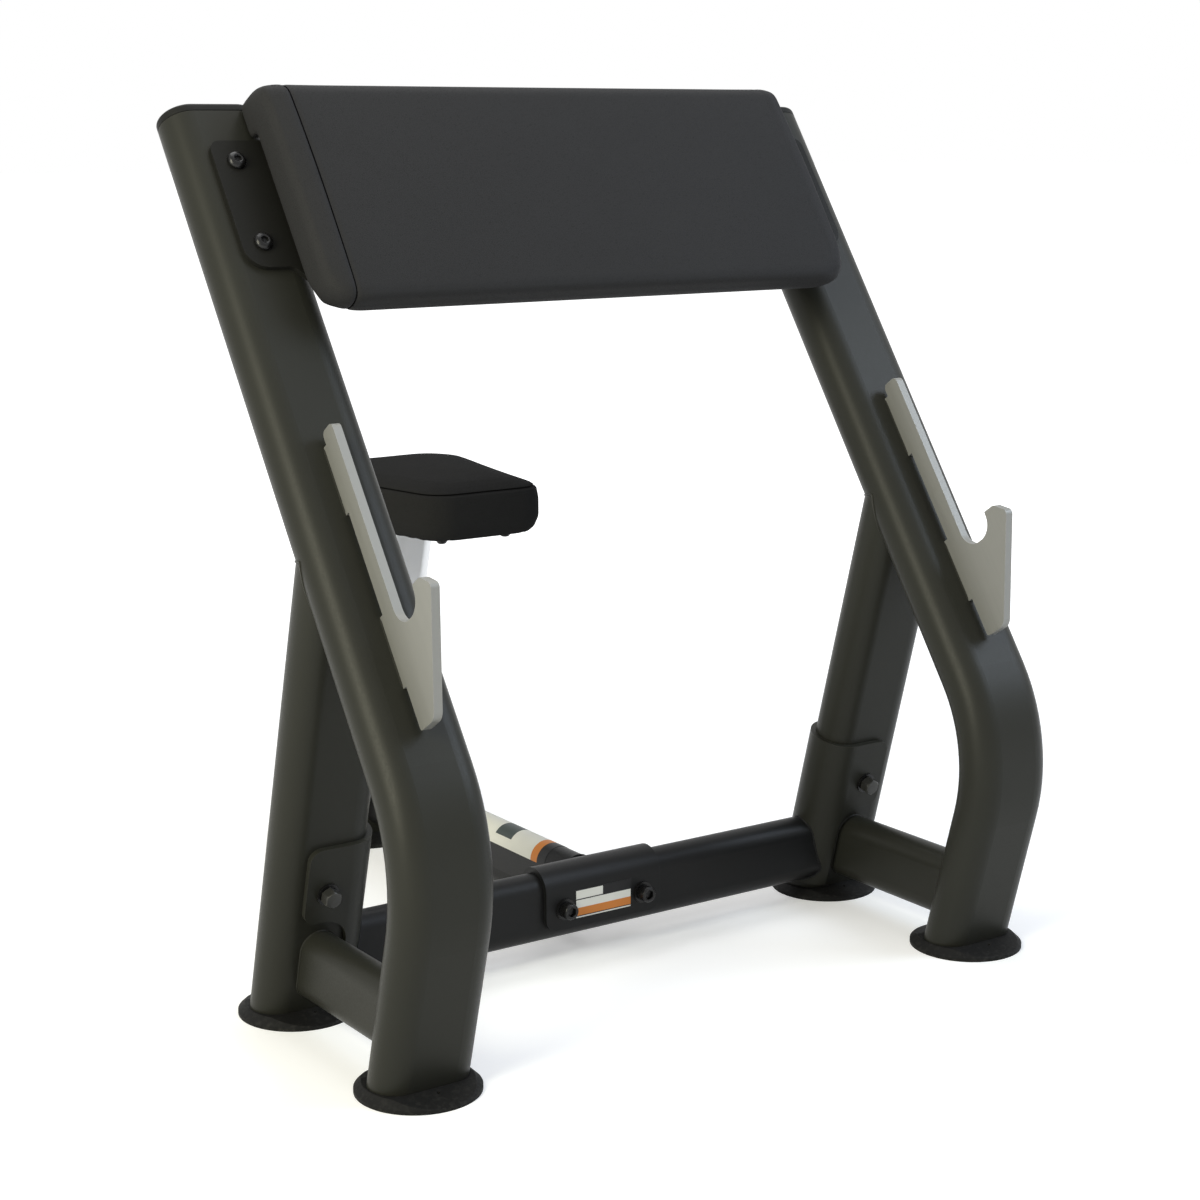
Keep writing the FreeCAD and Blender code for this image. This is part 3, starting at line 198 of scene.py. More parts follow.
def ramp_value(tree, value, low, high, to_low, to_high):
    """Moves a value from one range to another, clamped at both ends."""
    return put(tree, "ShaderNodeMapRange", {
        "Value": value, "From Min": low, "From Max": high, "To Min": to_low, "To Max": to_high,
    }).outputs["Result"]


def place_on(tree):
    """The place on the piece, in metres."""
    return put(tree, "ShaderNodeTexCoord").outputs["Object"]


def axes_of(tree, place):
    return put(tree, "ShaderNodeSeparateXYZ", {0: place}).outputs


def noise(tree, place, scale, detail, **more):
    return put(tree, "ShaderNodeTexNoise", {"Vector": place, "Scale": scale, "Detail": detail, **more}).outputs


print("common nodes have short names")

# %% [markdown]
# ## Shared effects
# Powder coat, moulded plastic and rubber all have a fine grain. It could be a displacement on the
# mesh, but at a tenth of a millimetre that would need millions of faces, so it is a noise that
# feeds a Bump node. Slow drift in tone keeps large faces from looking like flat paint. Handled
# edges are found with the Bevel node: where the rounded normal leaves the true one, an edge is near.

# %% Grain, tone drift and worn edges

def make_fine_grain():
    tree, entry = open_group("fine_grain", {"Scale": FLOAT}, {"Height": FLOAT})
    grain = noise(tree, place_on(tree), entry["Scale"], 2.0, Roughness=0.55)
    return close_group(tree, {"Height": grain["Fac"]})


def make_tone_drift():
    tree, entry = open_group("tone_drift", {"Colour": COLOUR, "Amount": FLOAT, "Scale": FLOAT}, {"Colour": COLOUR})
    slow = noise(tree, place_on(tree), entry["Scale"], 3.0)
    swing = times(tree, math_node(tree, "SUBTRACT", slow["Fac"], 0.5), 2.0)
    factor = math_node(tree, "ADD", times(tree, swing, entry["Amount"]), 1.0)
    return close_group(tree, {"Colour": vector_node(tree, "SCALE", {0: entry["Colour"], "Scale": factor})[0]})


def make_edge_rub():
    tree, entry = open_group("edge_rub", {"Radius": FLOAT, "Breakup": FLOAT}, {"Mask": FLOAT})
    rounded = put(tree, "ShaderNodeBevel", {"Radius": entry["Radius"]}, samples=4).outputs[0]
    true = put(tree, "ShaderNodeNewGeometry").outputs["Normal"]
    agree = vector_node(tree, "DOT_PRODUCT", {0: rounded, 1: true})["Value"]
    edge = ramp_value(tree, agree, 0.995, 0.82, 0.0, 1.0)
    patchy = ramp_value(tree, noise(tree, place_on(tree), entry["Breakup"], 3.0)["Fac"], 0.35, 0.65, 0.35, 1.0)
    return close_group(tree, {"Mask": times(tree, edge, patchy)})


fine_grain, tone_drift, edge_rub = make_fine_grain(), make_tone_drift(), make_edge_rub()
print("shared effects:", [group.name for group in (fine_grain, tone_drift, edge_rub)])

# %% [markdown]
# ## Vinyl, brushed steel and plywood patterns
# Upholstery vinyl is embossed with rounded pebbles between fine creases, which a Voronoi texture's
# distance to the nearest edge gives directly. Brushed steel is noise stretched many times along
# the direction of the belt. Plywood shows thin bands on its cut edges. The last two take a turn as
# an input, so that the same group can follow a tilted plate or a level one.

# %% Vinyl pebble, brush lines and ply bands

def turned_place(tree, entry):
    return put(tree, "ShaderNodeMapping", {"Vector": place_on(tree), "Rotation": entry["Turn"]}).outputs[0]


def stretched(tree, entry, stretch):
    return put(tree, "ShaderNodeMapping", {"Vector": turned_place(tree, entry), "Scale": stretch}).outputs[0]


def make_vinyl_pebble():
    tree, entry = open_group("vinyl_pebble", {"Scale": FLOAT}, {"Height": FLOAT, "Crease": FLOAT})
    place = place_on(tree)
    warp = noise(tree, place, 300.0, 1.0)["Color"]
    shift = vector_node(tree, "MULTIPLY", {0: warp, 1: (0.0012, 0.0012, 0.0012)})[0]
    moved = vector_node(tree, "ADD", {0: place, 1: shift})[0]
    cells = put(tree, "ShaderNodeTexVoronoi", {"Vector": moved, "Scale": entry["Scale"]}, feature="DISTANCE_TO_EDGE")
    edge = cells.outputs["Distance"]
    pebble, crease = ramp_value(tree, edge, 0.0, 0.28, 0.0, 1.0), ramp_value(tree, edge, 0.0, 0.12, 1.0, 0.0)
    return close_group(tree, {"Height": pebble, "Crease": crease})


def make_brush_lines():
    tree, entry = open_group("brush_lines", {"Turn": VECTOR}, {"Streak": FLOAT})
    fine = noise(tree, stretched(tree, entry, (900.0, 900.0, 12.0)), 1.0, 3.0)["Fac"]
    broad = noise(tree, stretched(tree, entry, (160.0, 160.0, 5.0)), 1.0, 2.0)["Fac"]
    return close_group(tree, {"Streak": math_node(tree, "ADD", times(tree, fine, 0.65), times(tree, broad, 0.35))})


def make_ply_bands():
    tree, entry = open_group("ply_bands", {"Turn": VECTOR, "Veneer": FLOAT}, {"Band": FLOAT, "Figure": FLOAT})
    depth = axes_of(tree, turned_place(tree, entry))["Z"]
    band = math_node(tree, "PINGPONG", math_node(tree, "DIVIDE", depth, entry["Veneer"]), 1.0)
    figure = noise(tree, stretched(tree, entry, (9.0, 140.0, 140.0)), 1.0, 4.0, Distortion=0.4)
    return close_group(tree, {"Band": band, "Figure": figure["Fac"]})


vinyl_pebble, brush_lines, ply_bands = make_vinyl_pebble(), make_brush_lines(), make_ply_bands()
print("patterns:", [group.name for group in (vinyl_pebble, brush_lines, ply_bands)])

# %% [markdown]
# ## Painted steel
# The tubes are powder coated: a sprayed dust that melts into a skin with a slight orange peel. A
# car paint shader with a clear coat would be too glossy. One Principled shader at medium roughness
# with a fine bump reads as powder coat, and the rubbed edges are only a little paler than the rest.

# %% Powder coat and black oxide

def start_material(name):
    made = bpy.data.materials.new(name)
    made.use_nodes = True
    made.node_tree.nodes.clear()
    return made, made.node_tree


def surface(made, base, grain, rough, relief=None, shine=0.5, metal=0.0):
    """Ends a material with one Principled shader; a pair of roughnesses and any relief follow its grain."""
    tree = made.node_tree
    if isinstance(rough, tuple):
        rough = ramp_value(tree, grain, 0.3, 0.7, *rough)
    inputs = {"Base Color": base, "Roughness": rough, "Specular IOR Level": shine, "Metallic": metal}
    if relief:
        strength, distance = relief
        bump = put(tree, "ShaderNodeBump", {"Strength": strength, "Distance": distance, "Height": grain})
        inputs["Normal"] = bump.outputs[0]
    shader = put(tree, "ShaderNodeBsdfPrincipled", inputs)
    put(tree, "ShaderNodeOutputMaterial", {"Surface": shader.outputs[0]})
    return made


def drifting(tree, colour, amount, scale):
    return place_group(tree, tone_drift, {"Colour": (*colour, 1), "Amount": amount, "Scale": scale})["Colour"]


def rubbed(tree, base, worn, radius, breakup, share):
    """A base colour with paler rubbed edges."""
    mask = place_group(tree, edge_rub, {"Radius": radius, "Breakup": breakup})["Mask"]
    return mix_colour(tree, times(tree, mask, share), base, (*worn, 1))


def grain_of(tree, scale):
    return place_group(tree, fine_grain, {"Scale": scale})["Height"]


def coated_steel(name, colour, worn, roughness, shine):
    made, tree = start_material(name)
    base = rubbed(tree, drifting(tree, colour, 0.16, 5.0), worn, 0.0014, 90.0, 0.55)
    rough = (roughness - 0.05, roughness + 0.06)
    return surface(made, base, grain_of(tree, 520.0), rough, (0.3, 0.00012), shine)


def oxide_steel(name, colour, roughness):
    made, tree = start_material(name)
    base = rubbed(tree, drifting(tree, colour, 0.25, 60.0), (0.12, 0.12, 0.115), 0.0006, 300.0, 0.4)
    rough = (roughness - 0.06, roughness + 0.08)
    return surface(made, base, grain_of(tree, 1500.0), rough, (0.2, 0.00005), metal=0.5)


finish = {
    "frame_paint": coated_steel("graphite_coat", (0.021, 0.0213, 0.0174), (0.05, 0.05, 0.044), 0.4, 0.15),
    "beam_paint": coated_steel("black_coat", (0.0085, 0.0088, 0.0092), (0.028, 0.029, 0.03), 0.42, 0.16),
    "black_steel": oxide_steel("black_oxide", (0.011, 0.011, 0.0115), 0.26),
}
# The brackets' coat is the uprights' graphite coat made darker and less shiny. The darkening is painted shade from
# the arm pad beside them.
bracket_painted_shade_coat = coated_steel("bracket_painted_shade_coat", (0.0115, 0.0115, 0.0102), (0.026, 0.026, 0.024), 0.42, 0.09)
print("painted finishes:", list(finish))

# %% [markdown]
# ## Bright steel
# The hooks are left as brushed stainless plate, and the seat's stem is satin chrome. Brushing
# scatters light across its lines, so the roughness and a very shallow bump follow the streaks.
# Mirror chrome would show the dark frame as a sharp picture, where satin chrome only blends it
# with the white room, so its roughness is higher and varies with faint wipe marks.

# %% Brushed stainless and chrome

def brushed_plate(name, colour, turn, roughness, metal):
    made, tree = start_material(name)
    streak = place_group(tree, brush_lines, {"Turn": turn})["Streak"]
    tone = ramp_value(tree, streak, 0.3, 0.7, 0.95, 1.04)
    streaked = vector_node(tree, "SCALE", {0: colour, "Scale": tone})[0]
    base = rubbed(tree, streaked, (0.38, 0.38, 0.36), 0.0012, 60.0, 0.5)
    return surface(made, base, streak, (roughness - 0.04, roughness + 0.05), (0.12, 0.00004), metal=metal)


def chromed(name):
    made, tree = start_material(name)
    wipe = place_group(tree, brush_lines, {"Turn": (LEG_LEAN, 0, 0)})["Streak"]
    return surface(made, drifting(tree, (0.74, 0.745, 0.75), 0.04, 25.0), wipe, (0.3, 0.4), metal=1.0)


ALONG_UPRIGHT = (UPRIGHT_LEAN, 0, 0)
finish["hook_steel"] = brushed_plate("brushed_stainless", (0.25, 0.25, 0.237), ALONG_UPRIGHT, 0.55, 0.5)
finish["bright_steel"] = brushed_plate("ground_steel", (0.6, 0.6, 0.6), (0, 0, 0), 0.25, 1.0)
finish["stem_chrome"] = chromed("satin_chrome")
print("bright finishes added:", list(finish)[3:])

# %% [markdown]
# ## Rubber, plastic, vinyl and plywood
# Moulded rubber is matt and picks up pale dust, most of all low down where feet and mops pass.
# Moulded plastic is smoother with a spark-eroded grain. Vinyl is dark and slightly glossy on its
# pebbles, and duller in its creases, which also carry painted shade. The boards are stained plywood, seen only from
# below and behind.

# %% Rubber and plastic

def dusted(tree, base):
    """Pale dust in patches over a base colour, most of it low down."""
    place = place_on(tree)
    low = ramp_value(tree, axes_of(tree, place)["Z"], 0.0, 0.012, 0.3, 0.05)
    patchy = ramp_value(tree, noise(tree, place, 160.0, 4.0)["Fac"], 0.5, 0.7, 0.0, 1.0)
    return mix_colour(tree, times(tree, low, patchy), base, (0.07, 0.068, 0.063, 1))


def moulded(name, colour, roughness, grain_scale, depth, dusty):
    made, tree = start_material(name)
    base = drifting(tree, colour, 0.2, 18.0)
    if dusty:
        base = dusted(tree, base)
    rough = (roughness - 0.06, roughness + 0.08)
    return surface(made, base, grain_of(tree, grain_scale), rough, (0.35, depth), 0.13)


finish["black_rubber"] = moulded("foot_rubber", (0.0085, 0.0085, 0.0085), 0.66, 420.0, 0.0002, True)
finish["black_plastic"] = moulded("moulded_plastic", (0.0085, 0.0086, 0.0078), 0.5, 1100.0, 0.00008, False)
print("moulded finishes added")

# %% Vinyl and plywood

def vinyl(name, colour, roughness, shine):
    made, tree = start_material(name)
    pebble = place_group(tree, vinyl_pebble, {"Scale": 620.0})
    # The creases are painted darker than the pebbles, and this darker tone is painted shade.
    crease, crease_painted_shade = pebble["Crease"], tuple(0.6 * c for c in colour)
    base = mix_colour(tree, times(tree, crease, 0.45), drifting(tree, colour, 0.1, 7.0), (*crease_painted_shade, 1))
    rough = ramp_value(tree, crease, 0.0, 1.0, roughness, roughness + 0.16)
    return surface(made, base, pebble["Height"], rough, (0.28, 0.00012), shine)


def stained_ply(name, turn):
    made, tree = start_material(name)
    bands = place_group(tree, ply_bands, {"Turn": turn, "Veneer": 0.0025})
    mark = times(tree, bands["Band"], bands["Figure"])
    base = mix_colour(tree, mark, (0.014, 0.013, 0.012, 1), (0.045, 0.04, 0.035, 1))
    return surface(made, base, bands["Figure"], (0.55, 0.75), (0.3, 0.0002))


PLY_BACK_TURN = (UPRIGHT_LEAN - pi / 2, 0, 0)
finish["pad_vinyl"] = vinyl("charcoal_vinyl", (0.0231, 0.0231, 0.0242), 0.68, 0.12)
finish["seat_vinyl"] = vinyl("black_vinyl", (0.0215, 0.0215, 0.0217), 0.8, 0.01)
finish["plywood"] = stained_ply("stained_plywood", (0, 0, 0))
pad_board_ply = stained_ply("stained_plywood_tilted", PLY_BACK_TURN)
print("soft and wooden finishes added,", len(finish), "slots covered")

# %% [markdown]
# ## Finishes on the CAD solids
# Solids whose shape is right stay as they are and only take a finish. Machined and pressed plates
# have slightly broken edges in life, and a razor-sharp edge is the surest sign of a computer model.
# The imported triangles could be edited, but a modifier leaves them alone: first flat regions are
# merged into single faces, then a narrow bevel rounds the real edges.

# %% Paint the solids and break the plates' edges
EDGE_WIDTHS_MM = {
    "bar_hook": 1.5, "pad_bracket": 0.9, "leg_saddle": 1.0, "centre_saddle": 1.0, "seat_plate": 0.8,
    "foot": 0.9, "washers": 0.35, "nuts": 0.5, "plunger_housing": 0.4, "column_bush": 0.7,
}
SHARP_ANGLE = radians(32)


def break_edges(obj, width):
    flat = obj.modifiers.new("merge_flats", "DECIMATE")
    flat.decimate_type, flat.angle_limit = "DISSOLVE", radians(0.6)
    rounded = obj.modifiers.new("broken_edges", "BEVEL")
    rounded.width, rounded.segments = width, 2
    rounded.limit_method, rounded.angle_limit = "ANGLE", radians(40)
    rounded.harden_normals = True


def dress(mesh, material):
    """Gives a mesh one finish, and smooth faces that meet sharply only at real edges."""
    mesh.materials.clear()
    mesh.materials.append(material)
    mesh.polygons.foreach_set("use_smooth", [True] * len(mesh.polygons))
    mesh.set_sharp_from_angle(angle=SHARP_ANGLE)


for part in frame["record"]["subparts"]:
    solid = nodes[part["node"]]
    dress(solid.data, finish[part["material_slot"]])
    for words, width in EDGE_WIDTHS_MM.items():
        if words in part["node"]:
            break_edges(solid, width * MM)
nodes["arm_pad_board"].data.materials[0] = pad_board_ply
# Both brackets take the graphite coat darkened by painted shade from the arm pad.
for side in ("left", "right"):
    nodes[side + "_pad_bracket"].data.materials[0] = bracket_painted_shade_coat
print("painted", len(nodes), "solids")

# %% [markdown]
# ## Shapes from rings
# Bolts, caps, weld beads, cords and seams are all a row of closed rings joined by quads. Blender's
# curve bevel would do for a plain cord, but not for a knurled head, a thread or a socket. A ring
# builder covers them all and gives clean closed meshes.

# %% Ring builder

def shell(rings, looped=False):
    """Points and faces of a tube through equal rings, capped at both ends unless it loops."""
    count = len(rings[0])
    points = [tuple(point) for ring in rings for point in ring]
    faces = []
    for index in range(len(rings) if looped else len(rings) - 1):
        here, there = index * count, (index + 1) % len(rings) * count
        for step in range(count):
            beside = (step + 1) % count
            faces.append((here + step, here + beside, there + beside, there + step))
    if not looped:
        faces.append(tuple(reversed(range(count))))
        faces.append(tuple(range(len(points) - count, len(points))))
    return points, faces


def build_piece(name, shells, slot, body, material=None):
    """Joins shells into one piece that rides on a body and takes a slot's finish."""
    points, faces = [], []
    for more_points, more_faces in shells:
        faces += [tuple(index + len(points) for index in face) for face in more_faces]
        points += more_points
    mesh = bpy.data.meshes.new(name)
    mesh.from_pydata(points, [], faces)
    sculpt = bmesh.new()
    sculpt.from_mesh(mesh)
    bmesh.ops.recalc_face_normals(sculpt, faces=sculpt.faces)
    sculpt.to_mesh(mesh)
    sculpt.free()
    dress(mesh, material or finish[slot])
    piece = add_object(name, mesh)
    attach(piece, body)
    return piece


print("ring builder ready")

# %% Turned pieces

def full_turn(count):
    """Angles at even steps round a full turn."""
    return [2 * pi * step / count for step in range(count)]


def quarter_turn(steps):
    return [pi / 2 * step / steps for step in range(steps + 1)]


def turned(profile, where, count=48):
    """Rings of a turned piece; a radius may be a number or a function of the angle and height."""
    rings = []
    for radius, z in profile:
        ring = []
        for angle in full_turn(count):
            r = radius(angle, z) if callable(radius) else radius
            ring.append(where @ spot(r * cos(angle), r * sin(angle), z))
        rings.append(ring)
    return shell(rings)


def hexagon(across):
    """The radius of a hexagon, measured across its flats, at any angle."""
    def radius(angle, z):
        part = (angle + pi / 6) % (pi / 3) - pi / 6
        return across / 2 / cos(part)
    return radius


print("a hexagon 10 across its flats has corners at", round(hexagon(10.0)(pi / 6, 0.0), 3))

# %% [markdown]
# ## Clamp bolts
# Four bolts clamp the saddles to the tubes: socket heads on the centre saddle, hexagon heads on the
# legs. A socket head has a knurled side, a chamfered rim and a hexagonal socket, and every bolt has
# a rolled thread that shows beyond its nut. The knurl could be a bump texture, but it catches light
# along the head's outline, so it is modelled: the radius of the ring ripples with the angle, and
# the thread's radius with the angle and the height together.

# %% Clamp bolts
CLAMP_RADIUS, CLAMP_HEAD, CLAMP_HEAD_HEIGHT, CLAMP_SOCKET, SOCKET_DEPTH = 6.0, 9.0, 12.0, 10.0, 6.0
HEXAGON_HEAD = 17.0
THREAD_PITCH, THREAD_DEPTH, THREAD_LENGTH, KNURLS = 1.75, 0.7, 18.0, 30


def knurled(angle, z):
    return CLAMP_HEAD - 0.16 * (1 + cos(KNURLS * angle))


def threaded(angle, z):
    phase = (z / THREAD_PITCH + angle / (2 * pi)) % 1.0
    return CLAMP_RADIUS - THREAD_DEPTH * abs(2 * phase - 1)


def threaded_shank(grip):
    tail, thread_end = -grip, 1.6 + THREAD_LENGTH - grip
    turns = int(THREAD_LENGTH / THREAD_PITCH * 4)
    thread = [(threaded, tail + 0.9 + THREAD_LENGTH * step / turns) for step in range(turns + 1)]
    return [(4.6, tail), (5.3, tail + 0.7), *thread, (CLAMP_RADIUS, thread_end), (CLAMP_RADIUS, 0.0)]


def socket_head():
    top, hexed = CLAMP_HEAD_HEIGHT, hexagon(CLAMP_SOCKET)
    return [(8.4, 0.0), (8.7, 0.5), (knurled, 1.2), (knurled, top - 1.6), (8.6, top - 0.9), (8.0, top - 0.2),
            (7.6, top), (6.3, top), (hexed, top - 0.5), (hexed, top - SOCKET_DEPTH),
            (hexagon(1.5), top - SOCKET_DEPTH - 1.2)]


def hexagon_head():
    top, hexed = CLAMP_HEAD_HEIGHT, hexagon(HEXAGON_HEAD)
    return [(8.2, 0.0), (8.2, 0.5), (hexed, 0.6), (hexed, top - 1.3),
            (lambda angle, z: min(hexed(angle, z), CLAMP_HEAD), top - 0.8), (8.2, top - 0.1), (7.6, top)]


# Where the heads sit, in millimetres from the middle of the leg and of the crossbar.
LEG_BOLT, SADDLE_BOLT_X, SADDLE_BOLT_Y = (0, -36.8, 162), 52.5, -28.8
leg_bolt_places = [
    leg_frame(side * HALF_SPACING, REAR_LEG_Y) @ at(*LEG_BOLT) @ FACING_FRONT for side in SIDES]
saddle_bolt_places = [
    at(0, CROSSBAR_Y, BEAM_Z) @ at(side * SADDLE_BOLT_X, SADDLE_BOLT_Y, 0) @ FACING_FRONT for side in SIDES]
grey_oxide = oxide_steel("grey_oxide", (0.04, 0.04, 0.037), 0.4)
for name, places, grip, head, look in (
        ("leg", leg_bolt_places, 87.6, hexagon_head(), grey_oxide),
        ("saddle", saddle_bolt_places, 71.6, socket_head(), finish["black_steel"])):
    shells = [turned(threaded_shank(grip) + head, place, 4 * KNURLS) for place in places]
    bolts = build_piece(f"{name}_clamp_bolts", shells, "black_steel", "frame", look)
    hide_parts(f"{name}_bolts")
    print(bolts.name, len(bolts.data.vertices), "points")

# %% [markdown]
# ## Domed screws
# The brackets are held by button heads, whose low dome gives each a small round highlight, and
# smaller domed screws hold the boards. A sphere would bulge too much. The dome here is a quarter
# ellipse from the rim to the socket.

# %% Button heads, screws and studs
DOME_SHARE = 0.86


def domed_screw(where, radius, head, height, grip, socket, rim, steps=7):
    profile = [(radius - 0.6, -grip), (radius, -grip + 0.6), (radius, 0.0), (head - 0.3, 0.0), (head, 0.3)]
    mouth = socket / 2 / cos(pi / 6) + 0.4
    for turn in (DOME_SHARE * quarter for quarter in quarter_turn(steps)):
        profile.append((mouth + (head - mouth) * cos(turn), rim + (height - rim) * sin(turn)))
    profile += [(mouth, height), (hexagon(socket), height - 0.35), (hexagon(socket), height * 0.42),
                (hexagon(socket * 0.2), height * 0.3)]
    return turned(profile, where)


BRACKET_LEVELS, BRACKET_FACE, PAD_SCREW_X, PAD_SCREW_Y = (650, 746), -34, 82, -28
PLATE_BOLT_X, PLATE_BOLT_Y, STUDS = 41, 61, ((43.75, -161), (75, 67))
SEAT_UNDER, SEAT_PLATE_UNDER = 441, 435
SEAT_Y = COLUMN_Y / MM - SEAT_UNDER * tan(LEG_LEAN)
uprights = [(side, upright_frame(side * HALF_SPACING)) for side in SIDES]
levels = [(side, tube, level) for side, tube in uprights for level in BRACKET_LEVELS]
button_places = [tube @ at(0, BRACKET_FACE, level) @ FACING_FRONT for side, tube, level in levels]
pad_screw_places = [tube @ at(-PAD_SCREW_X * side, PAD_SCREW_Y, level) @ FACING_REAR for side, tube, level in levels]
plate_places = [
    at(side * PLATE_BOLT_X, SEAT_Y + end * PLATE_BOLT_Y, SEAT_PLATE_UNDER) @ FACING_DOWN
    for side in SIDES for end in SIDES]
stud_places = [at(side * x, SEAT_Y + y, SEAT_UNDER) @ FACING_DOWN for x, y in STUDS for side in SIDES]
# The last numbers are the radius, head, height, grip, socket and rim in millimetres.
for name, node, body, places, sizes in (
        ("bracket_button_bolts", "bracket_bolts", "frame", button_places, (5.0, 10.0, 6.0, 20.0, 7.0, 0.8)),
        ("pad_board_screws", "arm_pad_screws", "frame", pad_screw_places, (3.0, 6.0, 3.5, 17.0, 4.0, 0.5)),
        ("seat_plate_bolts", "seat_bolts", "seat", plate_places, (4.0, 7.0, 4.5, 16.0, 4.5, 0.7)),
        ("seat_rim_studs", "seat_base_studs", "seat", stud_places, (4.0, 7.0, 7.5, 10.0, 4.5, 0.7))):
    screws = build_piece(name, [domed_screw(place, *sizes) for place in places], "black_steel", body)
    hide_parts(node)
    print(name, len(places))

# %% [markdown]
# ## Caps and pull knob
# A moulded cap closes each upright with a softly rounded crown, and a fine groove parts it from
# the tube. Its outline is the tube's flat oval, drawn in by a quarter circle towards the top. The
# knob that draws the seat's locking pin is turned, with shallow finger grooves and a domed end.

# %% Rounded caps

def flat_oval(width, depth, count):
    """Points round a flat oval in millimetres, evenly spaced; its second half mirrors the first."""
    radius, half = depth / 2, (width - depth) / 2
    straight, length = 2 * half, 2 * half + pi * radius
    points = []
    for step in range(count):
        second, s = divmod(2 * length * step / count, length)
        turn = max(0.0, s - straight) / radius
        x, y = min(s, straight) - half + radius * sin(turn), -radius * cos(turn)
        points.append((-x, -y) if second else (x, y))
    return points


def cap_shell(where, crown=4.0, thickness=10.0, plug=20.0, count=120):
    levels = [(13.0, -plug + 0.8), (6.6, -plug), (6.6, 0.0), (2.4, 0.0), (0.0, 1.0)]
    for turn in quarter_turn(8):
        levels.append((2 * crown * (1 - cos(turn)), thickness - crown + crown * sin(turn)))
    return shell([
        [where @ spot(x, y, UPRIGHT_TOP + z) for x, y in flat_oval(TUBE_WIDTH - inset, TUBE_DEPTH - inset, count)]
        for inset, z in levels
    ])


for side, tube in uprights:
    word = "left" if side < 0 else "right"
    cap = build_piece(f"{word}_moulded_cap", [cap_shell(tube)], "black_plastic", "frame")
    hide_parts(f"{word}_top_cap")
    print(cap.name, "crown rounded")

# %% Pull knob
KNOB_BASE, KNOB_RADIUS, KNOB_DOME, FINGER_GROOVES = 42.5, 21.0, 7.0, 8
PLUNGER = (0, 28, 255)


def grooved(radius):
    return lambda angle, z: radius * (1 - 0.03 * (1 + cos(FINGER_GROOVES * angle)))


plunger_place = leg_frame(0, COLUMN_Y) @ at(*PLUNGER) @ FACING_REAR
knob_profile = [(6.05, KNOB_BASE + 3), (6.05, KNOB_BASE), (10.4, KNOB_BASE), (11.0, KNOB_BASE + 0.6)]
knob_profile += [(12.0, KNOB_BASE + 4), (15.0, KNOB_BASE + 8), (grooved(19.0), KNOB_BASE + 11)]
knob_profile += [(grooved(20.8), KNOB_BASE + 13.5), (grooved(KNOB_RADIUS), KNOB_BASE + 16)]
for turn in quarter_turn(8)[1:]:
    across = 3 + (KNOB_RADIUS - 3) * cos(turn)
    knob_profile.append((grooved(across), KNOB_BASE + 17 + KNOB_DOME * sin(turn)))
knob = build_piece("seat_pull_knob", [turned(knob_profile, plunger_place, 96)], "black_plastic", "plunger")
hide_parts("pull_knob")
print(knob.name, "with", FINGER_GROOVES, "finger grooves")

# %% [markdown]
# ## Weld beads
# Where one tube is cut to meet another, a bead of weld fills the corner and is painted over. A
# boolean of the tubes would find the seam, but these tubes are simple enough to work it out: each
# point of one tube's oval is slid along that tube until it touches the other tube's face. The bead
# is a thin tube along that line with the ripples that a welder's steady steps leave.

# %% Lines where the tubes meet
SADDLE_WRAP = 6.3
beam_oval = flat_oval(BEAM_WIDTH, BEAM_DEPTH, 200)


def half_depth(x):
    """How far the big flat oval reaches from its middle plane at a place across it, in millimetres."""
    beyond = max(0.0, abs(x) - (TUBE_WIDTH - TUBE_DEPTH) / 2)
    return sqrt(max(0.0, (TUBE_DEPTH / 2) ** 2 - beyond ** 2))


def leg_to_upright(side):
    lean, leg = UPRIGHT_LEAN, LEG_LEAN
    for x, y in flat_oval(TUBE_WIDTH, TUBE_DEPTH, 240):
        gap_y = (REAR_LEG_Y - KNEE_Y) / MM + y * cos(leg)
        gap_z = y * sin(leg) - KNEE_Z / MM
        rise = (gap_y * cos(lean) - gap_z * sin(lean) - half_depth(x)) / sin(lean + leg)
        yield leg_frame(side * HALF_SPACING, REAR_LEG_Y) @ spot(x, y, rise)


def beam_to_leg(x_middle, leg_y, facing):
    """A low beam's end against the front (-1) or rear (1) of a leg."""
    for z, x in beam_oval:
        level = BEAM_Z + z
        y = leg_y / MM + (facing * half_depth(x) - level * sin(LEG_LEAN)) / cos(LEG_LEAN)
        yield Vector((x_middle + x * MM, y * MM, level * MM))


def crossbar_to_saddle(side):
    flat, bend = (TUBE_WIDTH - TUBE_DEPTH) / 2, TUBE_DEPTH / 2 + SADDLE_WRAP
    for z, y in beam_oval:
        level, world_y = BEAM_Z + z, CROSSBAR_Y + y
        off_axis = (world_y - REAR_LEG_Y / MM) * cos(LEG_LEAN) + level * sin(LEG_LEAN)
        reach = flat + sqrt(max(0.0, bend ** 2 - off_axis ** 2))
        yield Vector((side * (HALF_SPACING - reach * MM), world_y * MM, level * MM))


def beam_to_saddle():
    y = CROSSBAR_Y + BEAM_DEPTH / 2 + SADDLE_WRAP
    return [spot(x, y, BEAM_Z + z) for z, x in beam_oval]


def stem_to_plate():
    column = leg_frame(0, COLUMN_Y)
    for x, y in beam_oval:
        rise = (SEAT_PLATE_UNDER - y * sin(LEG_LEAN)) / cos(LEG_LEAN)
        yield column @ spot(x, y, rise)


print("meeting lines:", len(list(leg_to_upright(1))), "points on a leg,", len(list(stem_to_plate())), "on the stem")

# %% Lay the beads

def even_line(points, spacing, looped):
    """The same line with points at an even spacing."""
    line = np.array([tuple(p) for p in points])
    if looped:
        line = np.vstack([line, line[:1]])
    run = np.concatenate([[0.0], np.cumsum(np.linalg.norm(np.diff(line, axis=0), axis=1))])
    count = max(3, round(run[-1] / spacing))
    marks = np.linspace(0, run[-1], count + 1)[:count if looped else None]
    return np.stack([np.interp(marks, run, line[:, axis]) for axis in range(3)], axis=1)


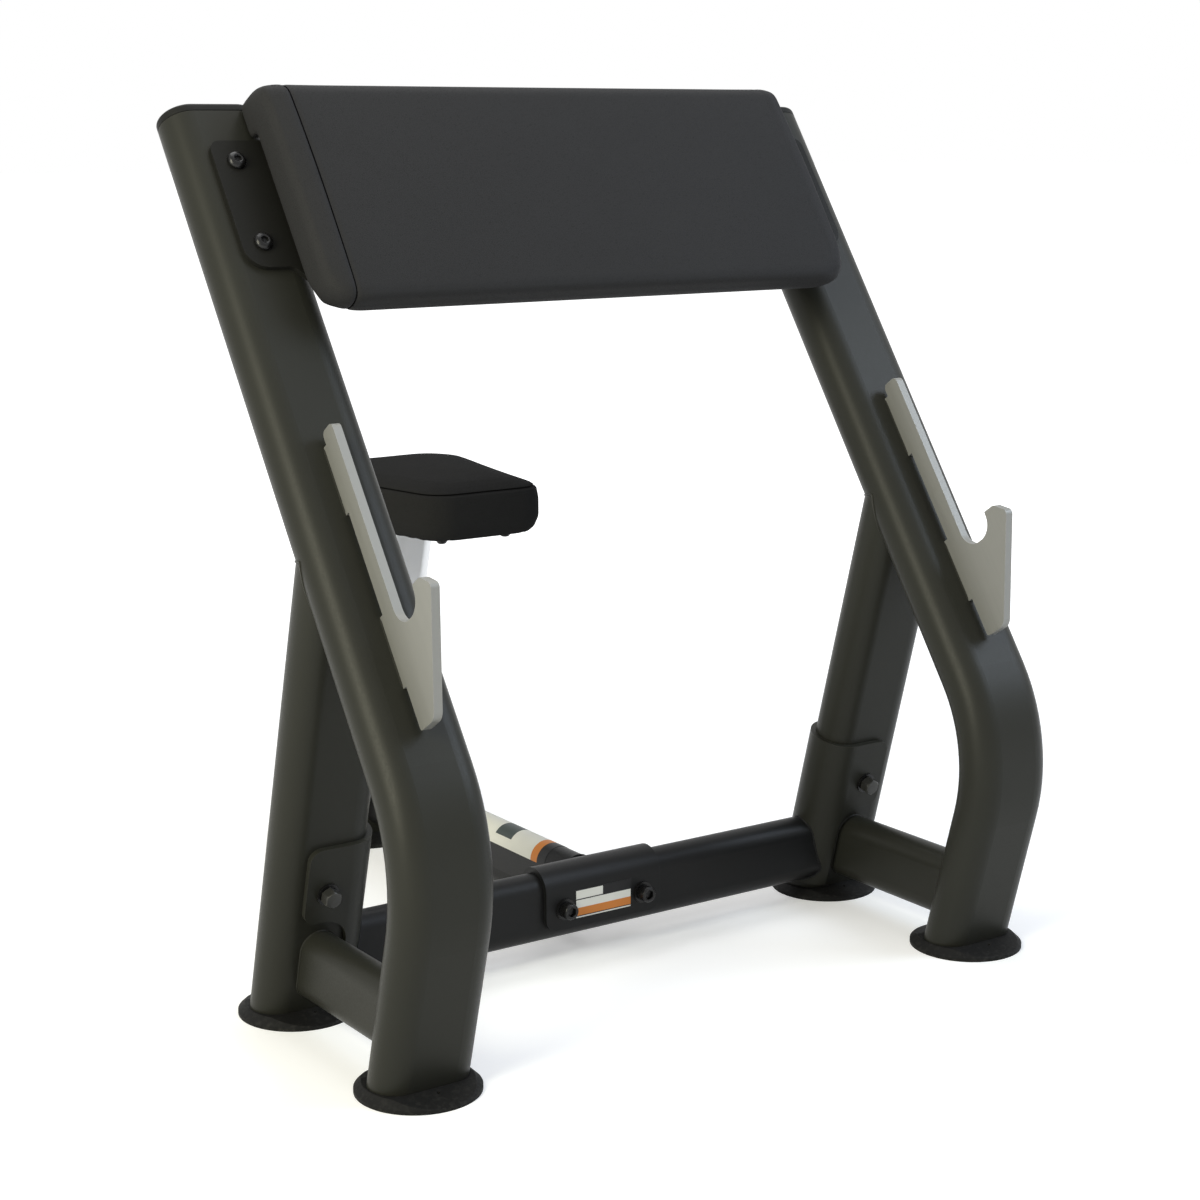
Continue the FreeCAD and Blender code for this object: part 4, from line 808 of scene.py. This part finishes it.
def bead(points, radius, looped, ripple=0.0, pitch=0.004, spacing=0.001, sides=8):
    """A round bead along a line; ripple is the share by which its radius swings."""
    line = even_line(points, spacing, looped)
    ahead = np.roll(line, -1, axis=0) - np.roll(line, 1, axis=0)
    if not looped:
        ahead[0], ahead[-1] = line[1] - line[0], line[-1] - line[-2]
    ahead /= np.linalg.norm(ahead, axis=1)[:, None]
    across = Vector((0.31, 0.53, 0.79))
    rings = []
    for index, (point, direction) in enumerate(zip(line, ahead)):
        direction = Vector(direction)
        across = (across - direction * across.dot(direction)).normalized()
        beside = direction.cross(across)
        size = radius * (1 + ripple * sin(2 * pi * index * spacing / pitch))
        if not looped:
            size *= min(1.0, 0.35 + 0.3 * min(index, len(line) - 1 - index))
        rings.append([Vector(point) + (across * cos(t) + beside * sin(t)) * size for t in full_turn(sides)])
    return shell(rings, looped)


WELD_RADIUS, TAB_WELD_RADIUS, WELD_RIPPLE = 1.2 * MM, 0.9 * MM, 0.08
HOOK_TABS, TAB_WELD_ENDS, TAB_WELD_X, TAB_WELD_Y = (163, 346), (2, 72), 5.4, -28.2


def weld(line):
    return bead(line, WELD_RADIUS, True, WELD_RIPPLE)


frame_welds = []
for side, tube in uprights:
    x = side * HALF_SPACING
    frame_welds.append(weld(leg_to_upright(side)))
    frame_welds += [weld(beam_to_leg(x, FRONT_LEG_Y, 1)), weld(beam_to_leg(x, REAR_LEG_Y, -1))]
    for low in HOOK_TABS:
        for edge in SIDES:
            ends = [tube @ spot(edge * TAB_WELD_X, TAB_WELD_Y, low + z) for z in TAB_WELD_ENDS]
            frame_welds.append(bead(ends, TAB_WELD_RADIUS, False, WELD_RIPPLE))
frame_welds.append(weld(beam_to_leg(0, COLUMN_Y, -1)))
build_piece("frame_weld_beads", frame_welds, "frame_paint", "frame")
beam_welds = [weld(crossbar_to_saddle(side)) for side in SIDES] + [weld(beam_to_saddle())]
build_piece("beam_weld_beads", beam_welds, "beam_paint", "frame")
build_piece("stem_weld_bead", [weld(stem_to_plate())], "black_steel", "seat")
print(len(frame_welds) + len(beam_welds) + 1, "beads laid")

# %% [markdown]
# ## Upholstery
# Both cushions are foam under tight vinyl. A subdivided box would look like a block of soap. The
# way that gives foam its fullness is to let cloth do it: a copy of the solid is remeshed into even
# small faces, the cloth solver blows it up gently from inside for a few frames, and the movement
# is capped so the cushion keeps its size. Loose cloth wrinkles, but this vinyl is stretched tight
# over firm foam, so the movement is also evened out. Faces that lie on the board are held still.

# %% Reading, writing and evening points

def read_rows(source, field):
    rows = np.empty(len(source) * 3)
    source.foreach_get(field, rows)
    return rows.reshape(-1, 3)


def read_points(mesh):
    return read_rows(mesh.vertices, "co")


def read_normals(mesh):
    return read_rows(mesh.vertex_normals, "vector")


def write_points(mesh, points):
    mesh.vertices.foreach_set("co", points.ravel())
    mesh.update()


def applied(piece):
    """Replaces a piece's mesh by what its modifiers make of it."""
    bpy.context.view_layer.update()
    evaluated = piece.evaluated_get(bpy.context.evaluated_depsgraph_get())
    mesh = bpy.data.meshes.new_from_object(evaluated)
    piece.modifiers.clear()
    piece.data = mesh
    return mesh


def search_tree(mesh):
    return BVHTree.FromPolygons([tuple(v.co) for v in mesh.vertices], [tuple(p.vertices) for p in mesh.polygons])


def evened(mesh, values, rounds):
    """Values on the points, each drawn again and again towards the mean of its neighbours."""
    edges = np.empty(len(mesh.edges) * 2, dtype=np.int64)
    mesh.edges.foreach_get("vertices", edges)
    first, second = edges.reshape(-1, 2).T
    count = len(values)
    share = np.bincount(edges, minlength=count)
    values = values.copy()
    for _ in range(rounds):
        for axis in range(values.shape[1]):
            column = values[:, axis]
            total = np.bincount(first, column[second], count) + np.bincount(second, column[first], count)
            values[:, axis] = 0.5 * column + 0.5 * total / share
    return values


print("the solid arm pad has", len(nodes["arm_pad_cushion"].data.vertices), "points before it is remeshed")

# %% Copying, swelling and shaping a cushion
CLOTH_FRAMES, CLOTH_PRESSURE, EVENING_ROUNDS = 20, 4.0, 120


def soft_copy(name, node, to_flat, voxel, inset):
    """A CAD cushion in small even faces, laid square to the axes and drawn in by a small inset."""
    mesh = nodes[node].data.copy()
    mesh.transform(to_flat)
    solid = search_tree(mesh)
    piece = add_object(name, mesh)
    remesh = piece.modifiers.new("even_faces", "REMESH")
    remesh.mode, remesh.voxel_size, remesh.adaptivity = "VOXEL", voxel, 0.0
    box = [read_points(mesh).min(axis=0), read_points(mesh).max(axis=0)]
    mesh = applied(piece)
    points = evened(mesh, read_points(mesh), 2)
    write_points(mesh, np.array([solid.find_nearest(Vector(point))[0] for point in points]))
    write_points(mesh, read_points(mesh) - read_normals(mesh) * inset)
    return piece, box


def swell(piece, freedom, most):
    """Blows a cushion up with cloth pressure, then caps and evens the movement, so it stays taut."""
    start = read_points(piece.data)
    held = piece.vertex_groups.new(name="held")
    for weight, low, high in ((1.0, 0.0, 0.1), (0.5, 0.1, 0.6)):
        chosen = np.nonzero((freedom >= low) & (freedom < high))[0]
        held.add([int(index) for index in chosen], weight, "REPLACE")
    cloth = piece.modifiers.new("pressure", "CLOTH")
    fabric = cloth.settings
    fabric.quality, fabric.mass, fabric.vertex_group_mass = 4, 0.3, "held"
    fabric.use_pressure, fabric.uniform_pressure_force = True, CLOTH_PRESSURE
    fabric.effector_weights.gravity = 0.0
    cloth.collision_settings.use_collision = False
    cloth.point_cache.frame_start, cloth.point_cache.frame_end = 1, CLOTH_FRAMES
    for step in range(1, CLOTH_FRAMES + 1):
        bpy.context.scene.frame_set(step)
    swollen = read_points(applied(piece))
    bpy.context.scene.frame_set(1)
    move = swollen - start
    length = np.linalg.norm(move, axis=1)[:, None]
    capped = move * np.minimum(1.0, most / np.maximum(length, 1e-9)) * freedom[:, None]
    write_points(piece.data, start + evened(piece.data, capped, EVENING_ROUNDS))


def refine(piece, box):
    """One subdivision, then a stretch of a few thousandths back to the solid's own box."""
    finer = piece.modifiers.new("finer", "SUBSURF")
    finer.levels = finer.render_levels = 1
    mesh = applied(piece)
    points = read_points(mesh)
    low, high = points.min(axis=0), points.max(axis=0)
    write_points(mesh, box[0] + (points - low) * (box[1] - box[0]) / (high - low))


def smooth_step(value, low, high):
    share = np.clip((value - low) / (high - low), 0, 1)
    return share * share * (3 - 2 * share)


def reshape_edge(points, a_axis, a_edge, a_sense, b_axis, b_edge, b_sense, radius, power):
    """Draws a square edge in to a quarter circle (power 1) or fills a rounded one out (power below 0)."""
    across = a_sense * (points[:, a_axis] - a_edge) + radius
    along = b_sense * (points[:, b_axis] - b_edge) + radius
    inside = (across > 0) & (along > 0)
    a, b = across[inside], along[inside]
    change = (np.maximum(a, b) / np.hypot(a, b)) ** np.broadcast_to(power, len(points))[inside] - 1
    points[inside, a_axis] += a_sense * a * change
    points[inside, b_axis] += b_sense * b * change
    return smooth_step(across, -radius / 2, radius / 4) * smooth_step(along, -radius / 2, radius / 4)


print("cushion helpers ready, simulation", "on")

# %% [markdown]
# ## Arm pad
# The arm pad is a long firm slab with a panel sewn over each end. Its back, which lies on the
# board, is held still, and its ends and front swell by a few millimetres. The seams come after the
# swelling: points close to each seam are drawn in to a narrow valley. In the left seam a thin dark
# cord of thread lies at the valley's bottom, found by casting rays outwards from inside the pad. It
# is a real thread, and its near-black line is also painted shade in the seam. The right-hand seam's
# valley is only a tenth as deep and has no thread, so there only a faint line shows.

# %% Swell the arm pad
PAD_BOARD_FACE, PAD_FREE = -50 * MM, -66 * MM
PAD_VOXEL, PAD_INSET, PAD_CAP = 4.6 * MM, 0.8 * MM, 2.5 * MM
PAD_LOW_ROUND, PAD_HIGH_ROUND, PAD_FRONT_ROUND, PAD_FRONT = 33 * MM, 12 * MM, 12 * MM, -88 * MM


def shape_pad(mesh, low, high):
    """Tightens the front's lower edge and rounds the four corners that show from the front."""
    points = read_points(mesh)
    reshape_edge(points, 1, PAD_FRONT, -1, 2, low[2], -1, PAD_FRONT_ROUND, -0.6)
    towards_front = 1 - smooth_step(points[:, 1], PAD_FRONT, -36 * MM)
    near = np.zeros(len(points))
    for side in SIDES:
        reshape_edge(points, 0, side * high[0], side, 2, high[2], 1, PAD_HIGH_ROUND, towards_front)
        near += reshape_edge(points, 0, side * high[0], side, 2, low[2], -1, PAD_LOW_ROUND, 1.0)
    write_points(mesh, points + near[:, None] * (evened(mesh, points, 16) - points))


pad_frame = upright_frame(0)
arm_pad, pad_box = soft_copy("arm_pad_upholstery", "arm_pad_cushion", pad_frame.inverted(), PAD_VOXEL, PAD_INSET)
pad_freedom = 1 - smooth_step(read_points(arm_pad.data)[:, 1], PAD_FREE, PAD_BOARD_FACE)
swell(arm_pad, pad_freedom, PAD_CAP)
shape_pad(arm_pad.data, *pad_box)
refine(arm_pad, pad_box)
pad_size = np.ptp(read_points(arm_pad.data), axis=0)
print("arm pad", len(arm_pad.data.vertices), "points,", np.round(pad_size, 4), "m")

# %% Sew the arm pad's end panels
SEAM_X, SEAM_WIDTH, SEAM_DEPTH = 305 * MM, 2.0 * MM, 1.6 * MM
SEAM_CORE, SEAM_ANGLES = Vector((-SEAM_X, -66 * MM, 690 * MM)), np.arange(-128, 112, 1.0)
SEAM_FULL, SEAM_END = -48 * MM, -44 * MM
PAD_THREAD, PAD_TWIST = 0.6 * MM, 0.15
CORD_LIFT, CORD_TWIST, CORD_STEP, CORD_SIDES = 0.2 * MM, 0.003, 0.0012, 6


def sew_valley(mesh, offset, width, depth, where):
    """Draws points in towards the foam, most on the seam itself."""
    points = read_points(mesh)
    valley = np.exp(-((offset(points) / width) ** 2)) * where(points)
    write_points(mesh, points - read_normals(mesh) * (depth * valley)[:, None])


def surface_line(mesh, core, directions, lift):
    """Where rays from inside a cushion meet its surface, lifted a little off it."""
    tree, line = search_tree(mesh), []
    for direction in directions:
        hit, normal, face, distance = tree.ray_cast(core, direction)
        if hit is not None:
            line.append(hit + direction * lift)
    return line


def cord(line, radius, looped, ripple):
    return bead(line, radius, looped, ripple, CORD_TWIST, CORD_STEP, CORD_SIDES)


def cover(piece, slot, body, node):
    """Gives a sewn cushion its vinyl and puts it in the place of the CAD cushion."""
    dress(piece.data, finish[slot])
    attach(piece, body)
    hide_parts(node)


for side, depth in ((-1, SEAM_DEPTH), (1, SEAM_DEPTH / 10)):
    sew_valley(arm_pad.data, lambda p: p[:, 0] - side * SEAM_X, SEAM_WIDTH, depth,
               lambda p: 1 - smooth_step(p[:, 1], SEAM_FULL, SEAM_END))
# Only the left seam gets a thread. Its near-black line is a real thread and also painted shade in the seam.
outward = [Vector((0, -cos(t), sin(t))) for t in map(radians, SEAM_ANGLES)]
line = [pad_frame @ p for p in surface_line(arm_pad.data, SEAM_CORE, outward, CORD_LIFT)]
left_seam_thread_with_painted_shade = cord(line, PAD_THREAD, False, PAD_TWIST)
arm_pad.data.transform(pad_frame)
cover(arm_pad, "pad_vinyl", "frame", "arm_pad_cushion")
print("arm pad sewn, thread of", len(line), "rays")

# %% [markdown]
# ## Seat
# The seat is a tapered slab with a flat underside on its board, upright sides and a top panel
# sewn on along a seam that runs right round just below the top edge. It is made in the same way,
# with its underside held, and the seam's rays go outwards all round at the seam's height.

# %% Swell and sew the seat
SEAT_VOXEL, SEAT_INSET, SEAT_CAP = 4 * MM, 1.2 * MM, 2.5 * MM
SEAT_HELD, SEAT_FREE = (SEAT_UNDER + 17) * MM, (SEAT_UNDER + 30) * MM
SEAT_SEAM, SEAT_SEAM_DEPTH, SEAT_RAYS = 496 * MM, 1.5 * MM, 360
SEAT_THREAD, SEAT_TWIST = 0.8 * MM, 0.1

seat_pad, seat_box = soft_copy("seat_upholstery", "seat_cushion", Matrix.Identity(4), SEAT_VOXEL, SEAT_INSET)
seat_freedom = smooth_step(read_points(seat_pad.data)[:, 2], SEAT_HELD, SEAT_FREE)
swell(seat_pad, seat_freedom, SEAT_CAP)
refine(seat_pad, seat_box)
sew_valley(seat_pad.data, lambda p: p[:, 2] - SEAT_SEAM, SEAM_WIDTH, SEAT_SEAM_DEPTH, lambda p: np.ones(len(p)))
seat_core = Vector((0, SEAT_Y * MM - 30 * MM, SEAT_SEAM))
outward = [Vector((cos(t), sin(t), 0)) for t in full_turn(SEAT_RAYS)]
seam_line = surface_line(seat_pad.data, seat_core, outward, CORD_LIFT)
seat_thread = cord(seam_line, SEAT_THREAD, True, SEAT_TWIST)
cover(seat_pad, "seat_vinyl", "seat", "seat_cushion")
print("seat", len(seat_pad.data.vertices), "points, seam of", len(seam_line), "rays")

# %% [markdown]
# ## Seam thread
# The thread is a shade darker than the vinyl and shows as a thin line. It has a small twist, which
# the ripple of its bead gives, and a matt finish of its own built on the same grain group.

# %% Lay the thread in the seams
thread, tree = start_material("seam_thread")
thread_colour = drifting(tree, (0.0015, 0.0015, 0.0015), 0.3, 400.0)
surface(thread, thread_colour, grain_of(tree, 2500.0), (0.6, 0.8), (0.4, 0.0001), 0.02)
# The arm pad's thread lies in the left seam alone and is partly painted shade.
build_piece("arm_pad_seams", [left_seam_thread_with_painted_shade], "pad_vinyl", "frame", thread)
build_piece("seat_seam", [seat_thread], "seat_vinyl", "seat", thread)
print("threads laid")

# %% [markdown]
# ## Blank colour bands
# Two thin stickers give the dark frame its only colour: one wraps the seat beam, one lies flat
# between the saddle's bolts. They carry plain fields of colour and nothing else. Each is a real
# sheet a third of a millimetre thick, bent to the metal, and its fields are limits along the axes.

# %% Sticker finish and sheets
PALE, ORANGE, INK, SLATE = (0.75, 0.75, 0.7), (0.6, 0.21, 0.045), (0.008, 0.008, 0.009), (0.06, 0.075, 0.075)
SHEET = 0.3 * MM


def inside(tree, place, low, high):
    """1 between two limits along an axis, otherwise 0."""
    return times(tree, math_node(tree, "GREATER_THAN", place, low), math_node(tree, "LESS_THAN", place, high))


def sticker(name, ground_colour, fields):
    """Plain fields of colour on a ground; a field is (colour, (axis, low, high), ...) in metres."""
    made, tree = start_material(name)
    places, base = axes_of(tree, place_on(tree)), (*ground_colour, 1)
    for colour, *limits in fields:
        mask = 1.0
        for axis, low, high in limits:
            mask = times(tree, inside(tree, places[axis], low, high), mask)
        base = mix_colour(tree, mask, base, (*colour, 1))
    base = place_group(tree, tone_drift, {"Colour": base, "Amount": 0.06, "Scale": 30.0})["Colour"]
    return surface(made, base, grain_of(tree, 900.0), (0.42, 0.52), shine=0.25)


def sheet_shell(grid, thickness):
    """A thin closed sheet over a grid of (point, outward normal)."""
    rings = []
    for row in grid:
        under = [point for point, normal in row]
        over = [point + normal * thickness for point, normal in row]
        rings.append(under + over[::-1])
    return shell(rings)


print("sticker helpers ready")

# %% Lay the stickers
# In millimetres: the saddle's sticker across and up, and the beam's along it and round it.
FLAT_X, FLAT_Z, WRAP_Y, WRAP_RUN = (-39, 37), (49, 82.5), (-74, 120), (-29, 62)
saddle_face = CROSSBAR_Y - BEAM_DEPTH / 2 - SADDLE_WRAP
flat_grid = [
    [(spot(x, saddle_face, z), Vector((0, -1, 0))) for z in np.linspace(*FLAT_Z, 6)] for x in np.linspace(*FLAT_X, 9)]
across = ("X", -0.038, 0.036)
saddle_fields = sticker("saddle_fields", INK, [
    (PALE, across, ("Z", 0.050, 0.0515)), (ORANGE, across, ("Z", 0.0525, 0.0615)),
    (PALE, across, ("Z", 0.0615, 0.0705)), (PALE, ("X", -0.038, -0.002), ("Z", 0.0718, 0.0815)),
])
build_piece("saddle_sticker", [sheet_shell(flat_grid, SHEET)], "beam_paint", "frame", saddle_fields)


def beam_wrap(y, run):
    """A point on the seat beam and its normal, by the run in millimetres from its top towards the left."""
    radius, shoulder = BEAM_DEPTH / 2, BEAM_Z + (BEAM_WIDTH - BEAM_DEPTH) / 2
    quarter = pi / 2 * radius
    if run > quarter:
        return spot(-radius, y, shoulder - (run - quarter)), Vector((-1, 0, 0))
    out = Vector((-sin(run / radius), 0, cos(run / radius)))
    return spot(0, y, shoulder) + out * radius * MM, out


wrap_grid = [[beam_wrap(y, run) for run in np.linspace(*WRAP_RUN, 40)] for y in np.linspace(*WRAP_Y, 24)]
beam_fields = sticker("beam_fields", INK, [
    (PALE, ("Y", -0.045, 1), ("Z", 0.0825, 1)), (ORANGE, ("Y", -0.058, -0.045), ("Z", 0.0825, 1)),
    (SLATE, ("Y", 0.002, 0.036), ("Z", 0.094, 1)),
])
build_piece("beam_sticker", [sheet_shell(wrap_grid, SHEET)], "beam_paint", "frame", beam_fields)
print("two blank stickers laid")

# %% [markdown]
# ## Floor, sky and lamps
# The studio is white all round. A white world would light the bench too strongly, so what the
# camera and reflections see is kept apart from what lights it: the Light Path node gives white to
# camera, glossy and transmission rays, and a softer grey to the rest. The floor gets the same lift,
# so it stays white far away and keeps the bench's shadow close by. Three large soft lamps shape it.

# %% Floor and world

def seen_directly(tree):
    """1 for rays from the camera, a glossy surface or glass, and 0 for the rest."""
    path = put(tree, "ShaderNodeLightPath")
    first = math_node(tree, "MAXIMUM", path.outputs["Is Camera Ray"], path.outputs["Is Glossy Ray"])
    return math_node(tree, "MAXIMUM", first, path.outputs["Is Transmission Ray"])


WORLD_LIGHT = 0.3
LIFT_NEAR, LIFT_FAR, NEAR, FAR = 0.32, 1.0, 1.0, 2.8
world = bpy.data.worlds.new("studio")
bpy.context.scene.world = world
world.use_nodes = True
sky = world.node_tree
sky.nodes.clear()
strength = ramp_value(sky, seen_directly(sky), 0.0, 1.0, WORLD_LIGHT, 1.0)
background = put(sky, "ShaderNodeBackground", {"Color": (1, 1, 1, 1), "Strength": strength})
put(sky, "ShaderNodeOutputWorld", {"Surface": background.outputs[0]})

floor_paint, ground = start_material("studio_floor")
away = vector_node(ground, "LENGTH", {0: place_on(ground)})["Value"]
amount = times(ground, seen_directly(ground), ramp_value(ground, away, NEAR, FAR, LIFT_NEAR, LIFT_FAR))
matt = put(ground, "ShaderNodeBsdfDiffuse", {"Color": (0.86, 0.86, 0.86, 1)})
lift = put(ground, "ShaderNodeEmission", {"Color": (1, 1, 1, 1), "Strength": amount})
both = put(ground, "ShaderNodeAddShader", {0: matt.outputs[0], 1: lift.outputs[0]})
put(ground, "ShaderNodeOutputMaterial", {"Surface": both.outputs[0]})

REACH = 40.0
corners = [(x * REACH, y * REACH, 0) for x, y in ((-1, -1), (1, -1), (1, 1), (-1, 1))]
floor_mesh = bpy.data.meshes.new("floor")
floor_mesh.from_pydata(corners, [], [(0, 1, 2, 3)])
floor_mesh.materials.append(floor_paint)
floor = add_object("floor", floor_mesh)
print("white studio floor and world")

# %% Lamps
LAMPS = (
    ("left_softbox", (-2.6, -1.0, 1.6), (0.0, 0.0, 0.5), (1.1, 2.0), 72.0, (1.0, 0.97, 0.76)),
    ("right_softbox", (2.5, -1.9, 2.5), (0.1, -0.1, 0.5), (1.8, 1.8), 66.0, (0.73, 0.84, 1.0)),
    ("top_softbox", (0.2, 0.6, 3.4), (0.0, 0.0, 0.4), (2.6, 2.6), 50.0, (1.0, 1.0, 1.0)),
)
for name, place, aim, size, power, tint in LAMPS:
    data = bpy.data.lights.new(name, "AREA")
    data.shape, data.size, data.size_y = "RECTANGLE", *size
    data.energy, data.color = power, tint
    stand(name, data, place, Vector(aim) - Vector(place))
print(len(LAMPS), "lamps")
